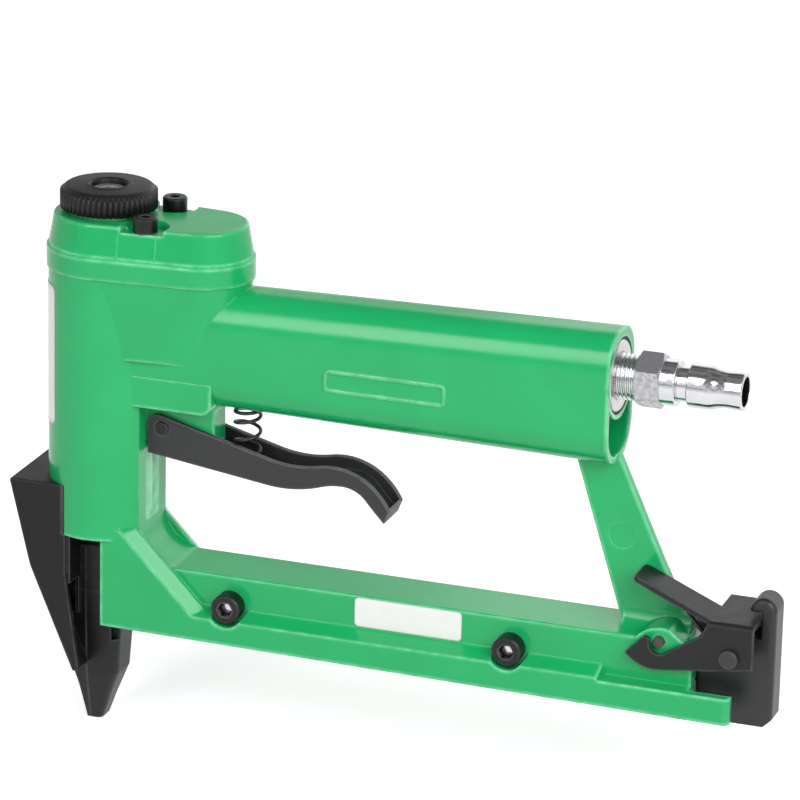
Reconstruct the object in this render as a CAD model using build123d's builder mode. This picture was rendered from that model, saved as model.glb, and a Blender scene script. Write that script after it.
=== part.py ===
from build123d import *
import os
from math import atan2, cos, degrees, hypot, pi, radians, sin, sqrt, tan

# Pneumatic frame stapler, in millimetres.
# The origin is the staple exit at the nose tip. X runs to the rear, Z up along the driver, Y across.

# Clearances
slip = 0.05          # press or slip fit between two round pieces, on the radius
run = 0.1            # running fit of a turning or sliding round piece, on the radius
slide = 0.2          # gap beside a flat sliding face

# Driver and staple
crown = 5.2          # staple crown, across the tool
blade_t = 1.2
blade_w = crown - slide
blade_tip_z = 52.0   # driver tip at rest
stroke = 52.0

# Cylinder column
cylinder_x = 3.2     # the piston stands behind the driver plane
column_r = 17.0
column_z = 59.6      # underside of the column, over the nose
back_flat_x = 16.8
piston_r = 12.0
sleeve_wall = 1.4
floor_t = 4.0
bumper_h = 10.0
piston_h = 11.0
ring_drop = 3.5      # ring groove's floor below the piston's crown
pin_r = 1.2          # cross pin that hangs the driver in the piston
pin_l = 13.0
pin_rise = 3.0
blade_over = 2.5     # driver above its pin
bumper_bore_r = 4.0

# Head
head_z = 143.0       # joint of the cap
flange_h = 6.0
flange_lip = 0.5
valve_x = 31.6       # axis of the valve, in the rear lobe
rear_lobe_r = 14.4
block_z = 113.5      # underside of the valve block
block_draft = 5.8    # the block narrows downwards into the grip
gasket_t = 0.3
gasket_inset = 0.3
cap_h = 9.3
cap_draft = 10.0
cap_wall = 3.6
cap_roof = 3.7
cap_edge = 0.9
cap_valve_r = 9.8    # air space over the valve
cap_screw_x = 18.7
cap_screw_y = 11.0
cap_seat_h = 7.7     # height of the screw seats over the joint
cap_seat_r = 5.0
cap_seat_flare = 50.0
cap_notch = 6.1      # half length of the notch that opens each seat to the side

# Head screws
m4_head_r = 3.5
m4_head_h = 4.5
m4_r = 2.0
m4_key = 3.0
screw_edge = 0.4

# Exhaust deflector
knob_r = 13.1
knob_h = 6.7
knurl_h = 5.2
knurl_count = 52
knurl_r = 0.65
knob_top_r = 12.0
knob_rise = 1.0      # round seat under the knob
knob_seat_r = 11.6
knob_well_r = 5.1
knob_floor = 1.9
knob_edge = 0.6

# Handle
handle_w = 24.0
handle_round = 10.0
handle_x = 154.4
handle_top = (133.8, 136.8)
handle_bottom = (100.9, 98.9)
handle_wall = 2.0
air_z = 123.4
air_r = 9.4
bush_r = 10.1
bush_l = 15.0
bush_edge = 0.4
seal_t = 0.8
seal_w = 1.2
pocket_depth = 45.0
frame_mark = (35.5, 6.4)   # bare raised frame on the grip's side
frame_mark_at = (90.3, 114.9)
frame_mark_rim = 0.9
frame_mark_round = 1.6
frame_mark_t = 0.35

# Air plug
thread_r = 6.5
thread_root = 5.9    # neck between the bush and the hexagon
thread_in = 12.0
thread_out = 5.4
hex_af = 14.0
hex_l = 7.1
hex_chamfer = 30.0
collar_r = 6.5
collar_l = 4.2
plug_edge = 0.3
groove_r = 5.0
groove_l = 3.2
plug_r = 6.2
plug_l = 15.3
plug_straight = 4.8  # cylinder that the coupling seals on
plug_waist_r = 5.25
plug_sweep = 5.9     # length of the hollow taper to the waist
plug_end_r = 5.45
plug_bore_r = 4.2

# Trigger
pivot_x = 22.0
pivot_z = 92.1
pivot_r = 2.0
pivot_out = 0.6      # rounded ends of the pin beside the trigger
pivot_round = 0.4
trigger_w = 12.0
trigger_wall = 1.5
trigger_web = 1.6
trigger_heel = (17.8, 84.5)      # lower front corner
trigger_toe = (17.8, 93.2)       # top of the straight front edge
trigger_crest = (21.4, 96.0)
trigger_top = ((53.5, 87.4), (69.0, 87.0), (84.6, 83.4), (90.3, 76.5))
trigger_under = ((54.0, 79.65), (70.0, 81.2), (76.5, 82.2), (83.4, 78.9), (88.9, 72.9))
boss_x = (15.0, 37.2)
boss_z = 88.0
boss_round = 3.0     # hollow corner between the boss and the grip
skirt_x = 39.0       # the grip's front is square below, over the trigger's pivot
skirt_z = 99.7
skirt_h = 9.0
skirt_round = 3.0
stem_r = 2.2
stem_gap = 0.3
spring_x = 45.7
spring_r = 3.7
spring_wire = 0.9
spring_turns = 4

# Trigger valve
valve_sleeve_r = 8.0
spool_r = 6.0
spool_l = 27.0
spool_rise = 3.0     # spool at rest over the chamber floor
spool_ring_at = (4.0, 22.0)
valve_z = 104.2      # floor of the valve chamber
ring_wire = 1.6
valve_spring_r = 4.0
valve_spring_wire = 1.0
valve_spring_turns = 4

# Magazine arm
foot_x = 7.0
arm_z = (33.6, 31.8)       # underside of the arm, at the foot and at the rear end
flange_w = 30.0
flange_top = 39.5
flange_end_x = 192.8
flange_round = 2.0
ledge_x = 155.0      # the raised ledge beside the arm ends at a mould seam
ledge_z = (40.3, 42.0, 42.6)
ledge_bead = 0.7     # rounded upper edge of the ledge, off the arm's side
arm_w = 19.0
arm_top = 52.0
arm_end_x = 180.4
end_opening = 24.0   # open rear end of the arm, round the end block
gusset = ((12.7, 63.0), (33.8, 41.3))
gusset_lean = 24.0   # the gusset's face leans out to the side
gusset_reach = (6.2, 5.3)
inner_round = 11.5
arm_edge = 0.8
hump_x = (164.2, 168.3, 173.6, 177.6)
hump_h = (2.9, 3.2)        # halfway up its round front, and at its rear corner
strut_y = (0.3, 3.3)       # beside the thumb tab
strut_top_x = (140.1, 152.1)
strut_bend = (168.1, 71.3)
strut_foot_x = (157.6, 178.0)
strut_foot_r = 5.0   # hollow foot on the arm
ejector_at = (156.3, 77.1)
ejector_r = 3.7
ejector_deep = 0.15

# Side screws
screw_x = (44.9, 128.4)
screw_z = 43.6
m5_head_r = 4.25
m5_head_h = 5.0
m5_r = 2.5
m5_key = 4.0
screw_relief = 1.0

# Nose
nose_w = 14.0
nose_top = 54.2
# Height, rear, half width and rear corner of the nose, from the tip up
nose_levels = ((0.0, 2.8, 3.6, 1.5), (6.5, 5.1, 4.9, 2.5), (15.0, 8.3, 6.6, 3.0))
nose_rear_x = 9.5
nose_corner = 2.5
nose_notch = (26.0, 2.5)   # floor and depth of the notch under the foot
plate_t = 1.8        # front plate above the step
plate_step_z = 33.5
plate_front_x = -5.0
plate_taper = (17.0, 10.5)
m3_head_r = 2.75
m3_head_h = 3.2
m3_r = 1.5
m3_key = 2.5
nose_thread = 6.3    # nose screws in the foot of the casting
nose_screw_y = 4.9
nose_screw_z = 40.4
tab_t = 1.2
tab_w = 16.0         # tab under the nose screws, between the guard's sides
tab_z = 44.8         # above this the tab is as wide as the guard

# Front guard
guard_w = 31.0
guard_t = 1.5
guard_top_z = 74.6
guard_front_x = -21.0
guard_kink = (-15.0, 50.3)
guard_tip = (-1.3, 18.6)
guard_rear_x = -3.7
guard_rear_kink_z = 48.0
guard_tip_w = 1.7
guard_round = 0.6
guard_fold = 0.7

# Magazine
slot_top = 49.8
slot_floor = 35.2
liner_t = 1.0
tee_x = 14.0         # the sliding rail's tee slot starts behind the nose screws
tee_w = 14.5
tee_z = (34.8, 40.6)
tee_mouth = 11.2
core_t = 2.6
core_top = 47.6
rail_wall = 1.6
rail_floor = 1.4
rod_y = 3.35
rod_r = 0.8
pusher_x = 9.0
pusher_l = 19.0
pusher_lug_l = 9.0
feed_spring_r = 1.4
feed_spring_wire = 0.6
feed_spring_turns = 14

# End block and latch
block_x = 181.0
block_w = 9.6
block_end_x = 202.4
block_low = 28.9
block_shelf = 54.5
block_back_t = 3.9   # upright back plate of the block
block_lip = (194.8, 62.4)
block_step = (3.9, 2.5)     # slope from the arm's top to the shelf
block_chamfer = (2.4, 2.2)
block_round = 1.6
latch_pivot = (191.6, 50.6)
latch_pin_r = 1.75
latch_head_r = 2.7
latch_head_t = 1.2
latch_head_round = 0.5
latch_ear_r = 3.5
latch_w = 24.8
latch_t = 1.3
latch_round = 1.8
latch_top = 60.4
latch_x = (185.4, 198.2)
latch_hook = ((162.0, 48.2), (167.4, 53.7), (169.0, 53.0), (172.6, 48.9))
latch_neck = ((183.4, 56.0), (198.2, 48.0), (186.7, 46.2), (172.2, 44.4))
thumb_end = (163.6, 70.3)
thumb_y = (-11.2, 0.0)     # the tab passes beside the strut
thumb_round = 2.0
leaf_t = 0.6
leaf_w = 8.0
leaf_x = (191.0, 182.6, 176.6)
leaf_rise = 7.6
catch_x = 171.0
catch_z = 51.6
catch_r = 1.5

# Derived sizes
sleeve_r = piston_r + sleeve_wall
floor_z = column_z + floor_t
bumper_z = floor_z + bumper_h
piston_z = bumper_z + stroke
front_lobe_r = column_r
cap_z = head_z + gasket_t
cap_top = cap_z + cap_h
cap_seat_z = cap_z + cap_seat_h
cap_roof_z = cap_top - cap_roof
knob_z = cap_top + knob_rise + slide
handle_front_x = cylinder_x
split_x = -blade_t / 2 - slip
plate_x = split_x - plate_t
slot_w = crown + 2 * slip + 2 * liner_t
arm_side = arm_w / 2
latch_inner = latch_w / 2 - latch_t
ear_w = 2 * (latch_inner - slide)
hex_x = handle_x + thread_out

os.makedirs("parts", exist_ok=True)


def web_z(x):
    """Height of the inner face of the trigger's web, along its straight front part."""
    bend = trigger_under[0]
    slope = (bend[1] - trigger_heel[1]) / (bend[0] - trigger_heel[0])
    return trigger_heel[1] + slope * (x - trigger_heel[0]) + trigger_web


def grip_z(x, ends):
    """Height of the grip's underside or top at a distance along it."""
    share = (x - handle_front_x) / (handle_x - handle_front_x)
    return ends[0] + share * (ends[1] - ends[0])


def flow(points, way):
    """Draw tangent arcs through points in the current line, leaving along a direction."""
    for start, end in zip(points, points[1:]):
        arc = TangentArc(start, end, tangent=way)
        way = arc.tangent_at(1)


def trigger_outline(lift=0.0):
    """Draw the trigger's side outline in the current sketch, raised by a lift."""
    heel, toe, crest = [(x, z + lift) for x, z in (trigger_heel, trigger_toe, trigger_crest)]
    top = [(x, z + lift) for x, z in trigger_top]
    under = [(x, z + lift) for x, z in trigger_under]
    with BuildLine() as outline:
        Line(heel, toe)
        TangentArc(toe, crest, tangent=(0, 1))
        Line(crest, top[0])
        flow(top, (top[0][0] - crest[0], top[0][1] - crest[1]))
        Line(heel, under[0])
        flow(under, (under[0][0] - heel[0], under[0][1] - heel[1]))
        Line(top[-1], under[-1])
    make_face(outline.edges())


def save(piece, name):
    """Label a finished piece and write its STEP file."""
    piece.part.label = name
    export_step(piece.part, f"parts/{name}.step")


def lobe_outline(grow=0.0):
    """Draw the head's two-lobed outline in the current sketch, grown by a margin."""
    with Locations((cylinder_x, 0)):
        Circle(front_lobe_r + grow)
    with Locations((valve_x, 0)):
        Circle(rear_lobe_r + grow)
    make_hull()


def biarc(start, start_dir, end, end_dir):
    """Join two points by two tangent arcs that keep the given end directions."""
    chord = end - start
    lean = chord.dot(start_dir + end_dir)
    turn = 2 * (1 - start_dir.dot(end_dir))
    reach = (sqrt(lean * lean + turn * chord.dot(chord)) - lean) / turn
    first = start + start_dir * reach
    last = end - end_dir * reach
    middle = (first + last) * 0.5
    TangentArc(start, middle, tangent=start_dir)
    TangentArc(middle, end, tangent=(last - first).normalized())


def wind(seat, mean_r, wire, length, turns):
    """Draw a coil spring's wire along a seat plane's normal.

    Each end runs straight for one wire diameter, a quarter turn leads it into the helix, and the
    helix is quarter-turn biarcs.
    """
    lead = 2 * wire
    pitch = (length - 2 * wire - 2 * lead) / turns
    steps = 4 * turns
    up = Vector(0, 0, 1)
    points = [Vector(mean_r, 0, wire)]
    ways = [up]
    for step in range(steps + 1):
        angle = radians(90 * (step + 1))
        points.append(Vector(mean_r * cos(angle), mean_r * sin(angle), wire + lead + pitch * step / 4))
        ways.append(Vector(-sin(angle), cos(angle), pitch / (2 * pi * mean_r)).normalized())
    angle = radians(90 * (steps + 2))
    points.append(Vector(mean_r * cos(angle), mean_r * sin(angle), length - wire))
    ways.append(up)
    ways = [seat.from_local_coords(way) - seat.origin for way in ways]
    points = [seat.from_local_coords(point) for point in points]
    Line(points[0] - ways[0] * wire, points[0])
    for a, way_a, b, way_b in zip(points, ways, points[1:], ways[1:]):
        biarc(a, way_a, b, way_b)
    Line(points[-1], points[-1] + ways[-1] * wire)


def least_gap(path, wire):
    """Least gap between turns of a wound wire, measured on points along its path."""
    steps = 240
    spots = [path.position_at(i / steps) for i in range(steps + 1)]
    apart = int(4 * wire / (path.length / steps)) + 1
    pairs = ((a, b) for a in range(steps + 1) for b in range(a + apart, steps + 1))
    return min((spots[a] - spots[b]).length for a, b in pairs) - wire


# Body casting: column, head flange, grip, strut and magazine arm in one piece
with BuildPart() as body_casting:
    # Grip, a little deeper towards its rear end, with all four long edges well rounded
    with BuildSketch(Plane.XZ):
        with BuildLine():
            Polyline(
                (handle_front_x, handle_bottom[0]),
                (handle_x, handle_bottom[1]),
                (handle_x, handle_top[1]),
                (handle_front_x, handle_top[0]),
                close=True,
            )
        make_face()
    extrude(amount=handle_w / 2, both=True)
    long_edges = body_casting.edges().filter_by(Axis.Y, reverse=True).filter_by(Axis.Z, reverse=True)
    fillet(long_edges, handle_round)

    # Column with a flat cut down its back, valve block and head flange
    with BuildSketch(Plane.XY.offset(column_z)):
        with Locations((cylinder_x, 0)):
            Circle(column_r)
        with Locations((back_flat_x, 0)):
            Rectangle(column_r, 2 * column_r, align=(Align.MIN, Align.CENTER), mode=Mode.SUBTRACT)
    extrude(amount=head_z - column_z)
    with BuildSketch(Plane.XY.offset(head_z - flange_h)):
        lobe_outline()
    extrude(amount=block_z + flange_h - head_z, taper=block_draft)
    with BuildSketch(Plane.XY.offset(head_z - flange_h)):
        lobe_outline(flange_lip)
    extrude(amount=flange_h)

    # Bare raised frame on the grip's side
    with BuildSketch(Plane.XZ.offset(handle_w / 2 - frame_mark_t)):
        with Locations(frame_mark_at):
            RectangleRounded(*frame_mark, frame_mark_round)
            RectangleRounded(
                frame_mark[0] - 2 * frame_mark_rim,
                frame_mark[1] - 2 * frame_mark_rim,
                frame_mark_round - frame_mark_rim,
                mode=Mode.SUBTRACT,
            )
    extrude(amount=2 * frame_mark_t)

    # Valve boss between the trigger's cheeks
    boss_w = trigger_w - 2 * trigger_wall - 2 * slide
    with BuildSketch(Plane.XY.offset(boss_z)):
        with Locations(((boss_x[0] + boss_x[1]) / 2, 0)):
            Rectangle(boss_x[1] - boss_x[0], boss_w)
    extrude(amount=block_z - boss_z)
    with BuildSketch(Plane.XZ) as skirt:
        with Locations((boss_x[0], skirt_z)):
            Rectangle(skirt_x - boss_x[0], skirt_h, align=(Align.MIN, Align.MIN))
        fillet(skirt.vertices().group_by(Axis.Y)[0].sort_by(Axis.X)[-1], skirt_round)
    extrude(amount=handle_w / 2, both=True)
    grip_low = grip_z(boss_x[1], handle_bottom)
    with BuildSketch(Plane.XZ):
        with BuildLine():
            Polyline(
                (boss_x[1], grip_low - boss_round),
                (boss_x[1] - boss_round, grip_low - boss_round),
                (boss_x[1] - boss_round, grip_low + boss_round),
                (boss_x[1] + boss_round, grip_low + boss_round),
                (boss_x[1] + boss_round, grip_low),
            )
            RadiusArc((boss_x[1] + boss_round, grip_low), (boss_x[1], grip_low - boss_round), -boss_round)
        make_face()
    extrude(amount=boss_w / 2, both=True)

    # Flange of the magazine arm, with the foot and its sloped gusset
    with BuildSketch(Plane.XZ):
        with BuildLine():
            Polyline(
                (foot_x, arm_z[0]),
                (foot_x, gusset[0][1]),
                gusset[0],
                gusset[1],
                (gusset[1][0], flange_top),
                (flange_end_x, flange_top),
                (flange_end_x, arm_z[1]),
                close=True,
            )
        make_face()
    extrude(amount=flange_w / 2, both=True)
    flange_ends = body_casting.edges(Select.LAST).filter_by(Axis.Z).group_by(Axis.X)[-1]
    fillet(flange_ends, flange_round)
    with BuildSketch(Plane.YZ.offset(gusset[0][0])):
        with BuildLine():
            Polyline(
                (-flange_w / 2, flange_top - flange_round),
                (-flange_w / 2, ledge_z[0]),
                (-arm_side - ledge_bead, ledge_z[1]),
                (-arm_side, ledge_z[2]),
                (arm_side, ledge_z[2]),
                (arm_side + ledge_bead, ledge_z[1]),
                (flange_w / 2, ledge_z[0]),
                (flange_w / 2, flange_top - flange_round),
                close=True,
            )
        make_face()
    extrude(amount=ledge_x - gusset[0][0])

    # Leaning face of the gusset, between the arm's side and the flange's edge
    lean = (flange_w / 2 - arm_side) * tan(radians(gusset_lean)) * sqrt(2)
    rise = gusset[0][1] + gusset_reach[0]
    for side in (1, -1):
        with BuildSketch(Plane.XZ.offset(side * arm_side)):
            with BuildLine():
                Polyline(
                    (gusset[0][0] + lean - gusset_reach[0], rise),
                    (gusset[1][0] + lean + gusset_reach[1], gusset[1][1] - gusset_reach[1]),
                    (gusset[0][0] + lean - gusset_reach[0], gusset[1][1] - gusset_reach[1]),
                    close=True,
                )
            make_face()
        extrude(amount=side * (flange_w / 2 - arm_side), taper=gusset_lean)

    # Arm above the flange: inner corner, top, and the hump that carries the catch pin
    with BuildSketch(Plane.XZ):
        with BuildLine():
            hump_front = (hump_x[0], arm_top)
            hump_crown = (hump_x[1], arm_top + hump_h[0])
            hump_rear = (hump_x[2], arm_top + hump_h[1])
            inner_end = (back_flat_x + inner_round, arm_top)
            Line(inner_end, hump_front)
            ThreePointArc(hump_front, hump_crown, hump_rear)
            Polyline(
                hump_rear,
                (hump_x[3], arm_top),
                (arm_end_x, arm_top),
                (arm_end_x, arm_z[0]),
                (foot_x, arm_z[0]),
                (foot_x, arm_top + inner_round),
                (back_flat_x, arm_top + inner_round),
            )
            RadiusArc((back_flat_x, arm_top + inner_round), inner_end, -inner_round)
        make_face()
    extrude(amount=arm_side, both=True)
    long_edges = body_casting.edges().filter_by(Axis.X)
    arm_edges = long_edges.filter_by_position(Axis.Z, arm_top - slip, arm_top + slip).sort_by(SortBy.LENGTH)
    fillet(arm_edges[-2:], arm_edge)

    # Strut from the grip down to the arm
    with BuildSketch(Plane.XZ.offset(-strut_y[1])):
        with BuildLine():
            Polyline(
                (strut_top_x[0], handle_bottom[0] + handle_round / 2),
                (strut_foot_x[0], arm_top - arm_edge),
                (strut_foot_x[1], arm_top - arm_edge),
                strut_bend,
                (strut_top_x[1], handle_bottom[0] + handle_round / 2),
                close=True,
            )
        make_face()
    extrude(amount=strut_y[1] - strut_y[0])
    with BuildSketch(Plane.XZ.offset(-strut_y[0])):
        with Locations(ejector_at):
            Circle(ejector_r)
    extrude(amount=-ejector_deep, mode=Mode.SUBTRACT)
    foot_y = (strut_y[0] - strut_foot_r, strut_y[1] + strut_foot_r)
    foot_z = arm_top + strut_foot_r
    with BuildSketch(Plane.YZ.offset(strut_foot_x[0])):
        with BuildLine():
            Polyline(
                (foot_y[0], arm_top),
                (foot_y[0], arm_top - arm_edge),
                (foot_y[1], arm_top - arm_edge),
                (foot_y[1], arm_top),
            )
            RadiusArc((foot_y[1], arm_top), (strut_y[1], foot_z), strut_foot_r)
            Line((strut_y[1], foot_z), (strut_y[0], foot_z))
            RadiusArc((strut_y[0], foot_z), (foot_y[0], arm_top), strut_foot_r)
        make_face()
    extrude(amount=hump_x[3] - strut_foot_x[0])

    # Cylinder bore and the driver's slot in its floor
    with BuildSketch(Plane.XY.offset(floor_z)):
        with Locations((cylinder_x, 0)):
            Circle(sleeve_r + slip)
    extrude(amount=head_z - floor_z, mode=Mode.SUBTRACT)
    with BuildSketch(Plane.XY.offset(column_z)):
        Rectangle(blade_t + 2 * slide, blade_w + 2 * slide)
    extrude(amount=floor_t, mode=Mode.SUBTRACT)

    # Valve chamber, its stem hole and the air space in the grip
    with BuildSketch(Plane.XY.offset(valve_z)):
        with Locations((valve_x, 0)):
            Circle(valve_sleeve_r + slip)
    extrude(amount=head_z - valve_z, mode=Mode.SUBTRACT)
    with BuildSketch(Plane.XY.offset(boss_z)):
        with Locations((valve_x, 0)):
            Circle(stem_r + run)
    extrude(amount=valve_z - boss_z, mode=Mode.SUBTRACT)
    with BuildSketch(Plane.YZ.offset(valve_x)):
        with Locations((0, air_z)):
            Circle(air_r)
    extrude(amount=handle_x - valve_x, mode=Mode.SUBTRACT)
    with BuildSketch(Plane.YZ.offset(handle_x)):
        with Locations((0, air_z)):
            Circle(bush_r + slip)
    extrude(amount=-bush_l, mode=Mode.SUBTRACT)
    with BuildSketch(Plane.YZ.offset(handle_x)):
        with Locations((0, air_z)):
            Circle(bush_r + seal_t)
    extrude(amount=-seal_w, mode=Mode.SUBTRACT)

    # Crescent pocket in the grip's end, under the bush
    with BuildSketch(Plane.YZ.offset(handle_x)):
        with Locations((0, (handle_bottom[1] + handle_top[1]) / 2)):
            RectangleRounded(
                handle_w - 2 * handle_wall,
                handle_top[1] - handle_bottom[1] - 2 * handle_wall,
                handle_round - handle_wall,
            )
        with Locations((0, air_z)):
            Circle(bush_r + handle_wall, mode=Mode.SUBTRACT)
            Rectangle(handle_w, handle_w, align=(Align.CENTER, Align.MIN), mode=Mode.SUBTRACT)
    extrude(amount=-pocket_depth, mode=Mode.SUBTRACT)

    # Staple slot, tee slot of the sliding rail, and the open rear end of the arm
    with BuildSketch(Plane.YZ.offset(foot_x)):
        with Locations((0, slot_floor)):
            Rectangle(slot_w, slot_top - slot_floor, align=(Align.CENTER, Align.MIN))
    extrude(amount=flange_end_x - foot_x, mode=Mode.SUBTRACT)
    with BuildSketch(Plane.YZ.offset(tee_x)):
        with Locations((0, tee_z[0])):
            Rectangle(tee_w, tee_z[1] - tee_z[0], align=(Align.CENTER, Align.MIN))
        with Locations((0, arm_z[1])):
            Rectangle(tee_mouth, tee_z[0] - arm_z[1], align=(Align.CENTER, Align.MIN))
    extrude(amount=flange_end_x - tee_x, mode=Mode.SUBTRACT)
    with BuildSketch(Plane.XY.offset(arm_z[1])):
        with Locations((arm_end_x, 0)):
            Rectangle(block_end_x - arm_end_x, end_opening, align=(Align.MIN, Align.CENTER))
    extrude(amount=arm_top - arm_z[1], mode=Mode.SUBTRACT)

    # Side screws: round reliefs in the flange edge and blind holes behind
    with BuildSketch(Plane.XZ.offset(arm_side)):
        with Locations(*[(x, screw_z) for x in screw_x]):
            Circle(m5_head_r + screw_relief)
    extrude(amount=flange_w / 2, mode=Mode.SUBTRACT)
    with BuildSketch(Plane.XZ.offset(slot_w / 2)):
        with Locations(*[(x, screw_z) for x in screw_x]):
            Circle(m5_r + slip)
    extrude(amount=arm_side - slot_w / 2, mode=Mode.SUBTRACT)

    # Holes for the head screws, the nose screws, the trigger pin and the catch pin
    with BuildSketch(Plane.XY.offset(head_z)):
        with Locations((cap_screw_x, cap_screw_y), (cap_screw_x, -cap_screw_y)):
            Circle(m4_r + slip)
    extrude(amount=-2 * cap_h, mode=Mode.SUBTRACT)
    with BuildSketch(Plane.YZ.offset(foot_x)):
        with Locations((nose_screw_y, nose_screw_z), (-nose_screw_y, nose_screw_z)):
            Circle(m3_r + slip)
    extrude(amount=nose_thread + screw_relief, mode=Mode.SUBTRACT)
    with BuildSketch(Plane.XZ):
        with Locations((pivot_x, pivot_z)):
            Circle(pivot_r + slip)
        with Locations((catch_x, catch_z)):
            Circle(catch_r + slip)
    extrude(amount=arm_w, both=True, mode=Mode.SUBTRACT)
save(body_casting, "body_casting")

# Head gasket, set back from the outline so that the joint shows as a fine line
with BuildPart() as head_gasket:
    with BuildSketch(Plane.XY.offset(head_z)):
        lobe_outline(-gasket_inset)
        with Locations((cylinder_x, 0)):
            Circle(sleeve_r, mode=Mode.SUBTRACT)
        with Locations((valve_x, 0)):
            Circle(valve_sleeve_r, mode=Mode.SUBTRACT)
        with Locations((cap_screw_x, cap_screw_y), (cap_screw_x, -cap_screw_y)):
            Circle(m4_r + slide, mode=Mode.SUBTRACT)
    extrude(amount=gasket_t)
save(head_gasket, "head_gasket")

# Head cap: drafted two-lobed cover with a screw seat on each flank and the air passage inside
with BuildPart() as head_cap:
    with BuildSketch(Plane.XY.offset(cap_z)):
        lobe_outline()
    extrude(amount=cap_h, taper=cap_draft)
    fillet(head_cap.faces().sort_by(Axis.Z)[-1].edges(), cap_edge)
    with BuildSketch(Plane.XY.offset(cap_top - slip)):
        with Locations((cylinder_x, 0)):
            Circle(knob_seat_r)
    extrude(amount=knob_rise + slip)
    with BuildSketch(Plane.XY.offset(cap_seat_z)):
        with Locations((cap_screw_x, cap_screw_y), (cap_screw_x, -cap_screw_y)):
            Circle(cap_seat_r)
    extrude(amount=cap_top - cap_seat_z, taper=-cap_seat_flare, mode=Mode.SUBTRACT)
    with BuildSketch(Plane.XY.offset(cap_seat_z)):
        for side in (1, -1):
            with Locations((cap_screw_x, side * (cap_screw_y + cap_notch))):
                Rectangle(2 * cap_notch, 2 * cap_notch)
    extrude(amount=cap_h, mode=Mode.SUBTRACT)
    with BuildSketch(Plane.XY.offset(cap_z)):
        with Locations((cylinder_x, 0)):
            Circle(front_lobe_r - cap_wall)
        with Locations((valve_x, 0)):
            Circle(cap_valve_r)
        with Locations(((cylinder_x + valve_x) / 2, 0)):
            Rectangle(valve_x - cylinder_x, cap_screw_y)
    extrude(amount=cap_roof_z - cap_z, mode=Mode.SUBTRACT)
    with BuildSketch(Plane.XY.offset(cap_z)):
        with Locations((cylinder_x, 0)):
            Circle(m5_r + slip)
        with Locations((cap_screw_x, cap_screw_y), (cap_screw_x, -cap_screw_y)):
            Circle(m4_r + slip)
    extrude(amount=cap_h + knob_rise, mode=Mode.SUBTRACT)
save(head_cap, "head_cap")

# Head screws, with hexagon sockets
with BuildPart() as cap_screws:
    screw_spots = [(cap_screw_x, cap_screw_y), (cap_screw_x, -cap_screw_y)]
    with BuildSketch(Plane.XY.offset(cap_seat_z)):
        with Locations(*screw_spots):
            Circle(m4_head_r)
    extrude(amount=m4_head_h)
    chamfer(cap_screws.faces().sort_by(Axis.Z)[-2:].edges(), screw_edge)
    with BuildSketch(Plane.XY.offset(cap_seat_z)):
        with Locations(*screw_spots):
            Circle(m4_r)
    extrude(amount=-2 * cap_h)
    with BuildSketch(Plane.XY.offset(cap_seat_z + m4_head_h)):
        with Locations(*screw_spots):
            RegularPolygon(m4_key / 2, 6, major_radius=False)
    extrude(amount=-m4_head_h / 2, mode=Mode.SUBTRACT)
save(cap_screws, "cap_screws")

# Exhaust deflector: knurled cap that turns on its centre screw
with BuildPart() as exhaust_deflector:
    with BuildSketch(Plane.XY.offset(knob_z)):
        with Locations((cylinder_x, 0)):
            Circle(knob_r)
            with PolarLocations(knob_r, knurl_count):
                Circle(knurl_r)
    extrude(amount=knurl_h)
    with BuildSketch(Plane.XY.offset(knob_z + knurl_h)):
        with Locations((cylinder_x, 0)):
            Circle(knob_r)
    extrude(amount=knob_h - knurl_h, taper=degrees(atan2(knob_r - knob_top_r, knob_h - knurl_h)))
    fillet(exhaust_deflector.faces().sort_by(Axis.Z)[-1].edges(), knob_edge)
    with BuildSketch(Plane.XY.offset(knob_z + knob_floor)):
        with Locations((cylinder_x, 0)):
            Circle(knob_well_r)
    extrude(amount=knob_h, mode=Mode.SUBTRACT)
    with BuildSketch(Plane.XY.offset(knob_z)):
        with Locations((cylinder_x, 0)):
            Circle(m5_r + run)
    extrude(amount=knob_h, mode=Mode.SUBTRACT)
save(exhaust_deflector, "exhaust_deflector")

with BuildPart() as deflector_screw:
    head_at = knob_z + knob_floor + slide
    with BuildSketch(Plane.XY.offset(head_at)):
        with Locations((cylinder_x, 0)):
            Circle(m5_head_r)
            RegularPolygon(m5_key / 2, 6, major_radius=False, mode=Mode.SUBTRACT)
    extrude(amount=m5_head_h - knob_floor)
    with BuildSketch(Plane.XY.offset(head_at)):
        with Locations((cylinder_x, 0)):
            Circle(m5_head_r)
    extrude(amount=-slide / 2)
    with BuildSketch(Plane.XY.offset(head_at - slide / 2)):
        with Locations((cylinder_x, 0)):
            Circle(m5_r)
    extrude(amount=cap_roof_z - head_at + slide / 2)
save(deflector_screw, "deflector_screw")

# Cylinder sleeve and rubber bumper
with BuildPart() as cylinder_sleeve:
    with BuildSketch(Plane.XY.offset(floor_z)):
        with Locations((cylinder_x, 0)):
            Circle(sleeve_r)
            Circle(piston_r, mode=Mode.SUBTRACT)
    extrude(amount=head_z - floor_z)
save(cylinder_sleeve, "cylinder_sleeve")

with BuildPart() as bumper:
    with BuildSketch(Plane.XY.offset(floor_z)):
        with Locations((cylinder_x, 0)):
            Circle(piston_r - slip)
        Circle(bumper_bore_r, mode=Mode.SUBTRACT)
    extrude(amount=bumper_h - slide)
save(bumper, "bumper")

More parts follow.
